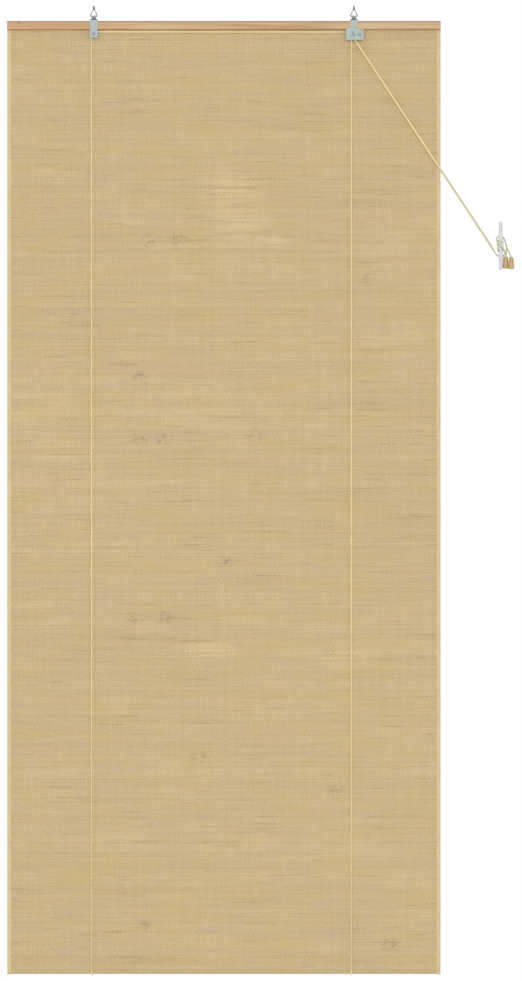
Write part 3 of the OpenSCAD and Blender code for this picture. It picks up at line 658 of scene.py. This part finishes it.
def wrap_round_batten(piece, top):
    """Bends a flat band down the front of the batten, round below it and up its back."""
    for vertex in piece.data.vertices:
        down = top - vertex.co.z
        out = vertex.co.y - mat_y
        if down < hem_leaf:
            vertex.co.yz = (hem_fold_y - hem_fold_r + out, hem_high.z - down)
        elif down < hem_leaf + math.pi * hem_fold_r:
            angle = (down - hem_leaf) / hem_fold_r
            vertex.co.yz = (hem_fold_y - (hem_fold_r - out) * math.cos(angle),
                            hem_fold_z - (hem_fold_r - out) * math.sin(angle))
        else:
            vertex.co.yz = (hem_fold_y + hem_fold_r - out,
                            hem_fold_z + down - hem_leaf - math.pi * hem_fold_r)


hem_slats = slat_band("hem_slats", hem_high.z, HEM_SLATS, hem_pitch, mat_y)
hem_threads = thread_band("hem_threads", mat_low.x, thread_count, hem_high.z, HEM_SLATS, hem_pitch, mat_y,
                          first=-1 if slat_count % 2 == 0 else 1)
for band in (hem_slats, hem_threads):
    wrap_round_batten(band, hem_high.z)
print("hem:", HEM_SLATS, "slats round a fold of", round(hem_fold_r * 1000, 1), "mm")

# %% [markdown]
# A line of long running stitches closes the hem through the mat.
# One stitch is a short bar whose ends are drawn down into the weave, and an Array repeats it.

# %% Hem stitches
STITCH_L, STITCH_GAP, STITCH_R = 0.0058, 0.0022, 0.0004
STITCH_BELOW = 0.0012
STITCH_END, STITCH_SUNK = 0.35, 0.4
stitch_pitch = STITCH_L + STITCH_GAP
stitch_count = int(mat_width / stitch_pitch)
stitch_y, stitch_z = mat_low.y + STITCH_R * STITCH_SUNK, hem_high.z - STITCH_BELOW
start_object_mode()
bpy.ops.mesh.primitive_cylinder_add(
    vertices=6, radius=STITCH_R, depth=STITCH_L, rotation=(0, math.radians(90), 0),
    location=(-(stitch_count - 1) * stitch_pitch / 2, stitch_y, stitch_z))
stitches = named("hem_stitches")
start_edit(stitches, "FACE", lambda face: abs(face.normal.x) > FACING)
bpy.ops.mesh.extrude_faces_move(TRANSFORM_OT_shrink_fatten={"value": STITCH_GAP * STITCH_END})
bpy.ops.transform.resize(value=(1, STITCH_END, STITCH_END), center_override=(0, stitch_y, stitch_z))
bpy.ops.transform.translate(value=(0, STITCH_R, 0))
bpy.ops.object.mode_set(mode="OBJECT")
apply_array(stitches, stitch_count, (stitch_pitch, 0, 0))
bpy.ops.object.shade_smooth_by_angle(angle=math.radians(60))
print("hem stitches:", stitch_count)

# %% [markdown]
# A pale cotton tape is folded over each side edge of the mat, so that the slat ends don't snag.
# It is a box with its inner side taken off, rounded along the fold and given a cloth's thickness.

# %% Edge tapes
TAPE_T = 0.0004
TAPE_ROUND = 0.0009
TAPE_SMOOTH = math.radians(40)
# An edge that rises more than this runs along the tape
LONG_EDGE = 0.1


def edge_ends(piece, edge):
    """The places of an edge's two ends."""
    return [piece.data.vertices[i].co for i in edge.vertices]


def thicken(piece, offset):
    """Gives a sheet a cloth's thickness, inwards where the offset is -1 and both ways where it is 0."""
    wall = piece.modifiers.new("cloth", "SOLIDIFY")
    wall.thickness = TAPE_T
    wall.offset = offset
    bpy.ops.object.modifier_apply(modifier=wall.name)
    bpy.ops.object.shade_smooth_by_angle(angle=TAPE_SMOOTH)


def edge_binding(node, side):
    """A folded tape that fills a tape node's box. Side is -1 at the left edge and 1 at the right."""
    low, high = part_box(node)
    start_object_mode()
    bpy.ops.mesh.primitive_cube_add(size=1, location=(low + high) / 2)
    bpy.context.object.scale = high - low
    piece = named(node + "_cloth")
    fold_x = (low if side < 0 else high).x

    def on_fold(edge):
        start, end = edge_ends(piece, edge)
        at_fold = all(abs(p.x - fold_x) < SAME_PLACE for p in (start, end))
        return at_fold and abs(start.z - end.z) > LONG_EDGE

    start_edit(piece, "FACE", lambda face: face.normal.x * side < -FACING or abs(face.normal.z) > FACING)
    bpy.ops.mesh.delete(type="FACE")
    bpy.ops.object.mode_set(mode="OBJECT")
    start_edit(piece, "EDGE", on_fold)
    bpy.ops.mesh.bevel(offset=TAPE_ROUND, segments=3, affect="EDGES")
    bpy.ops.object.mode_set(mode="OBJECT")
    thicken(piece, -1)
    return piece


tapes = {"left_edge_tape": edge_binding("left_edge_tape", -1),
         "right_edge_tape": edge_binding("right_edge_tape", 1)}
print("edge tapes:", {name: len(piece.data.polygons) for name, piece in tapes.items()}, "faces")

# %% [markdown]
# The tape was sewn on before the hem was folded, so it goes round the fold with the mat.
# It starts as a flat strip with one edge turned in over the slat ends. The hem's own wrap then folds it.

# %% Hem tapes
TAPE_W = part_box("left_edge_tape")[1].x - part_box("left_edge_tape")[0].x
TAPE_OUT = (mat_high.y - mat_low.y + TAPE_T) / 2
HEM_TAPE_STEPS = 60


def hem_tape(name, side):
    """The tape round one end of the hem. Side is -1 at the left end and 1 at the right."""
    start_object_mode()
    edge_x = side * (mat_high.x + TAPE_T / 2)
    length = HEM_SLATS * hem_pitch
    bpy.ops.mesh.primitive_grid_add(
        x_subdivisions=1, y_subdivisions=HEM_TAPE_STEPS, size=1, rotation=(math.radians(90), 0, 0),
        location=(edge_x - side * TAPE_W / 2, mat_y - TAPE_OUT, hem_high.z - length / 2))
    bpy.context.object.scale = (TAPE_W, length, 1)
    piece = named(name)

    def on_edge(edge):
        return all(abs(p.x - edge_x) < SAME_PLACE for p in edge_ends(piece, edge))

    start_edit(piece, "EDGE", on_edge)
    bpy.ops.mesh.extrude_region_move(TRANSFORM_OT_translate={"value": (0, 2 * TAPE_OUT, 0)})
    bpy.ops.object.mode_set(mode="OBJECT")
    wrap_round_batten(piece, hem_high.z)
    thicken(piece, 0)
    return piece


hem_tapes = [hem_tape("left_hem_tape", -1), hem_tape("right_hem_tape", 1)]
print("hem tapes:", [len(piece.data.polygons) for piece in hem_tapes], "faces")

# %% [markdown]
# Split bamboo is straw yellow, and no two slats have the same tone.
# Some have long brown streaks, and a dark smudge shows where a joint of the cane was cut.
# The row of a slat comes from its height, so a random number for each row gives it its own tone.
# Where a thread dives behind a slat, two dark spots of painted shade lie on the slat, so slat and thread make a
# fine check.
# The smudges are placed where the photograph shows them, as soft spots that noise breaks up.
# A few broad patches, pale, dark, pink or yellow, are placed in the same way, because bundles of slats
# come from one cane and are woven side by side.

# %% Bamboo
BAMBOO_PALE, BAMBOO_DEEP = srgb(231, 206, 159), srgb(199, 173, 127)
BAMBOO_PINK, BAMBOO_GREEN = srgb(228, 189, 147), srgb(206, 186, 126)
BAMBOO_YELLOW, BAMBOO_GREY, BAMBOO_GOLD = srgb(215, 190, 116), srgb(206, 183, 161), srgb(224, 186, 120)
BAMBOO_STREAK, BAMBOO_JOINT, BAMBOO_WEAVE_SHADE = srgb(152, 124, 84), srgb(132, 110, 98), srgb(140, 116, 78)
JOINTS_PX = [(140, 375), (140, 440), (163, 440), (255, 435), (225, 562), (135, 617), (165, 617),
             (200, 757), (335, 790), (145, 925), (390, 945), (150, 240), (178, 240), (365, 280)]
JOINT_W, JOINT_H = 0.032, 0.023
# Each patch: a pixel of the photograph, half a width and half a height in metres
PALE_PATCHES = [(228, 188, 0.1, 0.06), (240, 225, 0.11, 0.06), (206, 651, 0.12, 0.035),
                (330, 655, 0.14, 0.03), (60, 175, 0.09, 0.03), (278, 240, 0.06, 0.02)]
DARK_PATCHES = [(150, 272, 0.2, 0.03), (225, 147, 0.16, 0.02), (400, 494, 0.2, 0.025),
                (150, 615, 0.13, 0.03), (250, 736, 0.24, 0.02)]
PINK_PATCHES = [(230, 185, 0.12, 0.1), (207, 650, 0.1, 0.04), (346, 651, 0.09, 0.04),
                (218, 950, 0.12, 0.04)]
YELLOW_PATCHES = [(255, 96, 0.14, 0.04), (215, 145, 0.12, 0.03), (220, 885, 0.16, 0.05),
                  (323, 555, 0.12, 0.03), (30, 410, 0.12, 0.04)]
# The front of a slat meets its back within this distance of the mat's middle
TURN_Y = 0.0001

bamboo, bamboo_shader, _, (x, y, z) = new_material("split_bamboo", Specular_IOR_Level=0.3)
row = z.math("FLOOR", (mat_high.z - z) / SLAT_PITCH)
row_tone = z.node("ShaderNodeTexWhiteNoise", {"W": row}, noise_dimensions="1D")
along_slat = z.noise(z.vector(x * 5, row * 3.7, 0), detail=3)
broad = z.noise(z.vector(x * 1.2, 0, z * 9), detail=2)
patch = z.noise(z.vector(x * 6, 3, z * 45), detail=3)
tint = z.noise(z.vector(x * 4 + 4, 0, z * 16), detail=3)
fibre = z.noise(z.vector(x * 45, y * 2500, z * 2500), detail=2)
hue = z.noise(z.vector(x * 5 + 9, 0, z * 26), detail=4, rough=0.65)
gold = z.noise(z.vector(x * 6 + 30, row * 5.3, 0), detail=2)
streak = z.noise(z.vector(x * 7, row * 7.1 + 50, 0), detail=2)
broken = z.noise(z.vector(x * 75, 0, z * 150), detail=2)
front = 1 - y.step(mat_y - TURN_Y, mat_y + TURN_Y) * 2
# Painted shade: this check marks where the slat is darkened beside a thread that dives behind it
over = front * x.math("COSINE", (x - mat_low.x - thread_spacing / 2) * (math.pi / thread_spacing)) \
    * z.math("COSINE", (mat_high.z - SLAT_PITCH / 2 - z) * (math.pi / SLAT_PITCH))
tone = row_tone * 0.2 + along_slat * 0.5 + broad * 0.3 + patch * 0.45 + fibre * 0.2
colour = stained(
    tone.step(0.4, 1.2).blend(BAMBOO_DEEP, BAMBOO_PALE),
    (tint.step(0.55, 0.75), 0.45, BAMBOO_PINK), (1 - tint.step(0.28, 0.45), 0.45, BAMBOO_GREEN),
    (hue.step(0.5, 0.7), 0.55, BAMBOO_YELLOW), (1 - hue.step(0.3, 0.5), 0.45, BAMBOO_GREY),
    (gold.step(0.57, 0.7), 0.45, BAMBOO_GOLD), (streak.step(0.58, 0.74), 0.4, BAMBOO_STREAK),
    (0.5 - over * 0.5, 0.4, BAMBOO_WEAVE_SHADE))
for patches, strength, stain in ((PALE_PATCHES, 0.5, BAMBOO_PALE), (DARK_PATCHES, 0.4, BAMBOO_DEEP),
                                 (PINK_PATCHES, 0.35, BAMBOO_PINK), (YELLOW_PATCHES, 0.3, BAMBOO_YELLOW)):
    mask = sum(spot(x, z, *place_and_size) for place_and_size in patches)
    colour = stained(colour, (mask * along_slat.step(0.42, 0.54), strength, stain))
joints = sum(spot(x, z, px, py, JOINT_W, JOINT_H) for px, py in JOINTS_PX)
colour = stained(colour, (joints * broken.step(0.42, 0.62), 0.6, BAMBOO_JOINT))
paint(bamboo_shader, Base_Color=colour, Roughness=fibre * 0.2 + 0.5, Normal=z.bump(fibre, 0.4, 0.0002))
print("bamboo:", len(bamboo.node_tree.nodes), "nodes")

# %% [markdown]
# The weaving thread is undyed cotton, a little paler than the slats. The edge tape is a fine plain weave.
# A thread is a pixel wide at most, so its material only needs fluff and a slow change of tone.
# The tape's weave comes from two crossed waves, which also raise it a little.

# %% Cotton thread and tape
THREAD_PALE, THREAD_DEEP = srgb(239, 217, 168), srgb(219, 196, 145)
TAPE_PALE, TAPE_DEEP, TAPE_FOLD_SHADE = srgb(228, 208, 164), srgb(212, 190, 146), srgb(192, 174, 142)
TAPE_WEAVE = 0.0007
TAPE_RIM_W, TAPE_RIM_SHARE = 0.0022, 0.8

thread_cotton, thread_shader, place, (x, _, z) = new_material(
    "weaving_thread", Roughness=0.9, Specular_IOR_Level=0.15)
fluff = z.noise(place, scale=900, detail=3)
slow = z.noise(z.vector(x * 90, 0, z * 6), detail=2)
paint(thread_shader, Base_Color=(fluff * 0.5 + slow * 0.6).step(0.35, 0.75).blend(THREAD_DEEP, THREAD_PALE),
      Normal=z.bump(fluff, 0.4, 0.0001))

tape_cotton, tape_shader, _, (x, y, z) = new_material(
    "edge_tape_cotton", Roughness=0.9, Sheen_Weight=0.2, Specular_IOR_Level=0.2)
weft = z.math("SINE", z * (2 * math.pi / TAPE_WEAVE))
warp = x.math("SINE", x * (2 * math.pi / TAPE_WEAVE))
weave = weft * warp * 0.5 + 0.5
slub = z.noise(z.vector(x * 120, y * 120, z * 25), detail=3)
colour = (weave * 0.4 + slub * 0.7).step(0.25, 0.85).blend(TAPE_DEEP, TAPE_PALE)
# Painted shade along the outer edge of the tape, where it turns round the slat ends
rim = x.math("ABSOLUTE", x).step(mat_high.x - TAPE_RIM_W, mat_high.x)
paint(tape_shader, Base_Color=stained(colour, (rim, TAPE_RIM_SHARE, TAPE_FOLD_SHADE)),
      Normal=z.bump(weave + slub * 0.5, 0.5, 0.0002))
print("cotton:", thread_cotton.name, tape_cotton.name)

# %% [markdown]
# Baking a material into a picture needs a flat map of the piece.
# A mat of thousands of small faces would unfold into crumbs, so its map is simply its front and its back.
# Then every woven piece goes to its body: the mat and its tapes to the head, the hem to the bottom.

# %% Dress the mat
UV_GAP = 0.01
# A face whose normal has less than this along Y is seen edge on
EDGE_ON = 1e-3


def bake_map(piece):
    """A flat map for baking: the front on the left half, the back on the right, ends in a strip."""
    mesh = piece.data
    count = len(mesh.loops)
    corner = np.empty(count, np.int32)
    mesh.loops.foreach_get("vertex_index", corner)
    points = np.empty(len(mesh.vertices) * 3)
    mesh.vertices.foreach_get("co", points)
    points = points.reshape(-1, 3)
    low, span = points.min(0), np.ptp(points, axis=0)
    share = ((points - low) / span)[corner]
    normals = np.empty(len(mesh.polygons) * 3)
    mesh.polygons.foreach_get("normal", normals)
    sizes = np.empty(len(mesh.polygons), np.int32)
    mesh.polygons.foreach_get("loop_total", sizes)
    normal = np.repeat(normals.reshape(-1, 3), sizes, axis=0)
    half = 0.5 - 2 * UV_GAP
    across = np.where(normal[:, 1] < 0, share[:, 0] * half, share[:, 0] * half + 0.5)
    edge_on = np.abs(normal[:, 1]) < EDGE_ON
    across = np.where(edge_on, 1 - UV_GAP + share[:, 1] * UV_GAP, across)
    layer = mesh.uv_layers.new(name="OFBake")
    layer.uv.foreach_set("vector", np.stack([across, share[:, 2]], 1).astype(np.float32).ravel())


for piece in (slats, *thread_bands):
    bake_map(piece)
    woody = piece is slats
    dress(piece, bamboo if woody else thread_cotton, "head", "bamboo" if woody else "cord", "mat")
    shorten_with_lift(piece, mat_high.z, mat_low.z)
hem_finishes = [(hem_slats, bamboo, "bamboo"), (hem_threads, thread_cotton, "cord"),
                (stitches, thread_cotton, "cord"), *((tape, tape_cotton, "edge_tape") for tape in hem_tapes)]
for piece, material, slot in hem_finishes:
    dress(piece, material, "bottom", slot, "bottom_hem")
for node, piece in tapes.items():
    dress(piece, tape_cotton, "head", "edge_tape", node)
    shorten_with_lift(piece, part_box(node)[1].z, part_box(node)[0].z)
print("mat dressed:", 1 + len(thread_bands) + len(hem_finishes) + len(tapes), "pieces")

# %% [markdown]
# The batten is planed pine, pinkish at the left and more olive towards the right, with dark grain lines.
# A band of painted shade darkens its upper edge, and a small knot shows near the left end.
# Its upper edge is worn darker, and a small knot shows near the left end.

# %% Pine
PINE_PALE, PINE_DEEP = srgb(216, 180, 136), srgb(180, 140, 96)
PINE_ROSE, PINE_OLIVE = srgb(218, 166, 124), srgb(210, 190, 147)
PINE_TOP_SHADE, PINE_KNOT = srgb(142, 124, 98), srgb(86, 62, 40)
PINE_EDGE_H, PINE_EDGE_SOFT = 0.0038, 0.00114
KNOT_PX, PINE_KNOT_R = (19, 23), 0.004

pine, pine_shader, _, (x, y, z) = new_material("planed_pine", Specular_IOR_Level=0.35)
grain = z.noise(z.vector(x * 3.5, y * 110, z * 150), detail=4)
line = z.noise(z.vector(x * 6, y * 350, z * 420), detail=3)
hue = z.noise(z.vector(x * 2.5, 0, z * 20), detail=2) + x * 0.45
# Painted shade along the upper edge of the batten's front
top_edge_shade = z.step(rail_high.z - PINE_EDGE_H, rail_high.z - PINE_EDGE_H + PINE_EDGE_SOFT)
pine_knot = spot(x, z, *KNOT_PX, PINE_KNOT_R, PINE_KNOT_R)
colour = stained(
    (grain * 0.9 + line * 0.5).step(0.55, 0.88).blend(PINE_DEEP, PINE_PALE),
    (1 - hue.step(0.3, 0.6), 0.5, PINE_ROSE), (hue.step(0.5, 0.8), 0.5, PINE_OLIVE),
    (line.step(0.58, 0.72), 0.4, PINE_DEEP), (top_edge_shade, 0.75, PINE_TOP_SHADE), (pine_knot, 0.8, PINE_KNOT))
paint(pine_shader, Base_Color=colour, Roughness=grain * 0.25 + 0.42, Normal=z.bump(line, 0.3, 0.0002))
print("pine:", len(pine.node_tree.nodes), "nodes")

# %% [markdown]
# The brackets are galvanised sheet, whose zinc sets in flat crystals a few millimetres wide.
# Cells of a Voronoi texture stand for the crystals, each with its own grey and its own gloss.
# A dark ring is painted round each rivet, and painted shade darkens the fold under the roof where the sheet is
# pinched to a neck.
# The hangers, nails and eyes are dark drawn wire, rubbed bare where the shank hangs on its hook.

# %% Zinc and wire
ZINC_PALE, ZINC_DEEP, ZINC_DARK = srgb(171, 182, 176), srgb(143, 155, 150), srgb(94, 107, 102)
WIRE_PALE, WIRE_DEEP, WIRE_BARE = srgb(62, 69, 67), srgb(30, 34, 33), srgb(172, 177, 176)
ZINC_SHADE, ZINC_BLUE = srgb(84, 98, 96), srgb(162, 174, 184)
SPANGLE = 0.0028
# Heights above the rail: the shaded fold of the brackets, and the bare shank of the hangers
FOLD_LOW, FOLD_FULL, FOLD_HIGH, KNUCKLE_TOP = 0.002, 0.003, 0.0065, 0.011
SHANK_LOW, SHANK_BARE = 0.027, 0.035
RIVETS = ("left_axle", "brake_rivet")

zinc, zinc_shader, place, (x, _, z) = new_material("galvanised_sheet")
cells = place.node("ShaderNodeTexVoronoi", {"Vector": place, "Scale": 1 / SPANGLE}, output="Color")
crystal = cells.node("ShaderNodeSeparateColor", {"Color": cells}, output="Red")
speckle = place.noise(place, scale=1400, detail=3)
cloud = place.noise(place, scale=90, detail=3)
sheen = place.noise(place, scale=55, detail=2)
above = z - rail_high.z
# Painted shade on the bracket's fold over the rail, deepest at the neck and faint on the knuckle above
fold = above.step(FOLD_LOW, FOLD_FULL) * (1 - above.step(FOLD_HIGH, KNUCKLE_TOP) * 0.85)
colour = stained(
    (crystal * 0.5 + speckle * 0.5).step(0.15, 0.85).blend(ZINC_DEEP, ZINC_PALE),
    (cloud.step(0.55, 0.72), 0.35, ZINC_DARK), (sheen.step(0.35, 0.65), 0.5, ZINC_BLUE),
    (fold, 0.8, ZINC_SHADE))
for rivet in RIVETS:
    low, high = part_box(rivet)
    middle, head_r = (low + high) / 2, (high.x - low.x) / 2
    away = z.node("ShaderNodeVectorMath", {0: z.vector(x, 0, z), 1: (middle.x, 0, middle.z)},
                  output="Value", operation="DISTANCE")
    # A dark ring painted on the rim of the rivet head and on the plate just round it
    ring = away.step(head_r * 0.6, head_r) * (1 - away.step(head_r * 1.05, head_r * 1.6))
    colour = stained(colour, (ring, 0.6, ZINC_DARK))
paint(zinc_shader, Base_Color=colour, Roughness=crystal * 0.15 + 0.5, Metallic=0.3 + crystal * 0.1,
      Normal=place.bump(speckle, 0.25, 0.0001))

wire, wire_shader, place, (_, _, z) = new_material("drawn_wire", Metallic=0.4)
scale_marks = place.noise(place, scale=700, detail=3)
rubbed = z.step(rail_high.z + SHANK_LOW, rail_high.z + SHANK_BARE)
colour = (scale_marks * 0.9).step(0.2, 0.7).blend(WIRE_DEEP, WIRE_PALE)
paint(wire_shader, Base_Color=stained(colour, (rubbed, 0.8, WIRE_BARE)), Roughness=scale_marks * 0.3 + 0.3)
print("metal:", zinc.name, wire.name)

# %% [markdown]
# The pulls are turned from a golden wood, and the cleat and pulleys are moulded plastic.
# Wood that was turned shows its grain as long flames, so the noise is stretched along Z.
# Moulded plastic has a fine eggshell skin and a faint change of tone, which keep it from looking like paint.

# %% Turned wood and plastic
TURNED_PALE, TURNED_DEEP = srgb(219, 189, 134), srgb(170, 136, 86)
WHITE_PALE, WHITE_DEEP = srgb(224, 226, 226), srgb(204, 207, 208)
# The pulleys' grey is set dark so that, seen through the bracket's slots, it stands for the shade inside: painted
# shade
GREY_PALE, GREY_DEEP = srgb(150, 156, 156), srgb(118, 124, 125)

turned, turned_shader, _, (x, y, z) = new_material("turned_wood", Coat_Weight=0.15, Coat_Roughness=0.3)
flame = z.noise(z.vector(x * 260, y * 260, z * 30), detail=4)
pore = z.noise(z.vector(x * 1500, y * 1500, z * 110), detail=2)
colour = (flame * 0.8 + pore * 0.35).step(0.35, 0.8).blend(TURNED_DEEP, TURNED_PALE)
paint(turned_shader, Base_Color=colour, Roughness=pore * 0.2 + 0.35, Normal=z.bump(pore, 0.3, 0.0001))


def moulded(name, pale, deep, rough):
    """A plastic of two near tones, with its lowest roughness."""
    made, shader, place, _ = new_material(name)
    skin = place.noise(place, scale=1800, detail=2)
    flow = place.noise(place, scale=60, detail=3)
    paint(shader, Base_Color=flow.step(0.3, 0.7).blend(deep, pale), Roughness=skin * 0.15 + rough,
          Normal=place.bump(skin, 0.15, 0.00008))
    return made


white_plastic = moulded("white_moulded_plastic", WHITE_PALE, WHITE_DEEP, 0.3)
grey_plastic = moulded("grey_moulded_plastic", GREY_PALE, GREY_DEEP, 0.4)
print("turned and moulded:", turned.name, white_plastic.name, grey_plastic.name)

# %% [markdown]
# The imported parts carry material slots, and each slot gets one of the materials above.

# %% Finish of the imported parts
finishes = {"pine": pine, "zinc": zinc, "hanger_wire": wire, "turned_wood": turned,
            "white_plastic": white_plastic, "pulley_plastic": grey_plastic, "bamboo": bamboo,
            "edge_tape": tape_cotton, "cord": cord_material}
slot_of = {part["node"]: part["material_slot"] for part in frame["record"]["subparts"]}
for name, part in nodes.items():
    part.data.materials.clear()
    part.data.materials.append(finishes[slot_of[name]])
print("finished:", len(nodes), "packed parts")

# %% [markdown]
# The light is a plain studio: a white world all round and one large soft lamp beside the camera.
# A sun lamp lights two metres of mat evenly, and its wide angle softens the shadows of rail and cords.
# Their sum is such that a colour renders about as it is written.
# The lamp shines level and hardly reaches the floor, so the floor is drawn paler for the eye alone.

# %% Light and floor
WORLD_LIGHT = 0.6
KEY_STRENGTH, KEY_ANGLE = 1.28, math.radians(26)
KEY_TURN = (math.radians(90), 0, 0)
FLOOR_SIZE, FLOOR_DROP = 5.0, 0.9
FLOOR_PALE, FLOOR_DEEP = srgb(246, 246, 245), srgb(240, 240, 238)
FLOOR_GLOW, FLOOR_GLOW_SHARE = 0.95, 0.65


def seen_by_eye(tree):
    """1 for what the camera sees, straight on or in metal and glass, and 0 for light on the object."""
    rays = [Wire(tree, None).node("ShaderNodeLightPath", output=ray)
            for ray in ("Is Camera Ray", "Is Glossy Ray", "Is Transmission Ray")]
    return (rays[0] + rays[1] + rays[2]).step(0, 1)


world = bpy.data.worlds.new("studio")
bpy.context.scene.world = world
world.use_nodes = True
seen = seen_by_eye(world.node_tree)
backdrop = world.node_tree.nodes["Background"]
backdrop.inputs["Color"].default_value = (1, 1, 1, 1)
world.node_tree.links.new((seen * (1 - WORLD_LIGHT) + WORLD_LIGHT).out, backdrop.inputs["Strength"])

key_data = bpy.data.lights.new("key", "SUN")
key_data.energy = KEY_STRENGTH
key_data.angle = KEY_ANGLE
key = bpy.data.objects.new("key", key_data)
key.rotation_euler = KEY_TURN
bpy.context.scene.collection.objects.link(key)

start_object_mode()
bpy.ops.mesh.primitive_plane_add(size=FLOOR_SIZE, location=(0, 0, cad_low.z - FLOOR_DROP))
floor = named("floor")
floor_paint, floor_shader, place, _ = new_material("pale_floor", Roughness=0.8)
paint(floor_shader, Base_Color=place.noise(place, scale=3).step(0, 1).blend(FLOOR_DEEP, FLOOR_PALE))
tree = floor_paint.node_tree
glow = place.node("ShaderNodeEmission", {"Color": FLOOR_PALE, "Strength": FLOOR_GLOW})
drawn = place.node("ShaderNodeMixShader", {0: seen_by_eye(tree) * FLOOR_GLOW_SHARE,
                                           1: Wire(tree, floor_shader.outputs[0]), 2: glow})
tree.links.new(drawn.out, tree.nodes["Material Output"].inputs["Surface"])
floor.data.materials.append(floor_paint)
floor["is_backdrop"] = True
bpy.context.scene.view_settings.view_transform = "Standard"
print("light: world", WORLD_LIGHT, "and a key of", KEY_STRENGTH)

# %% [markdown]
# The overall sizes of the imported parts and of the dressed blind are both printed. The dressed
# blind has to stay inside the box of its imported parts.

# %% Size and finish
low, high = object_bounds()
print("visual:", [round(v, 4) for v in high - low], "m")
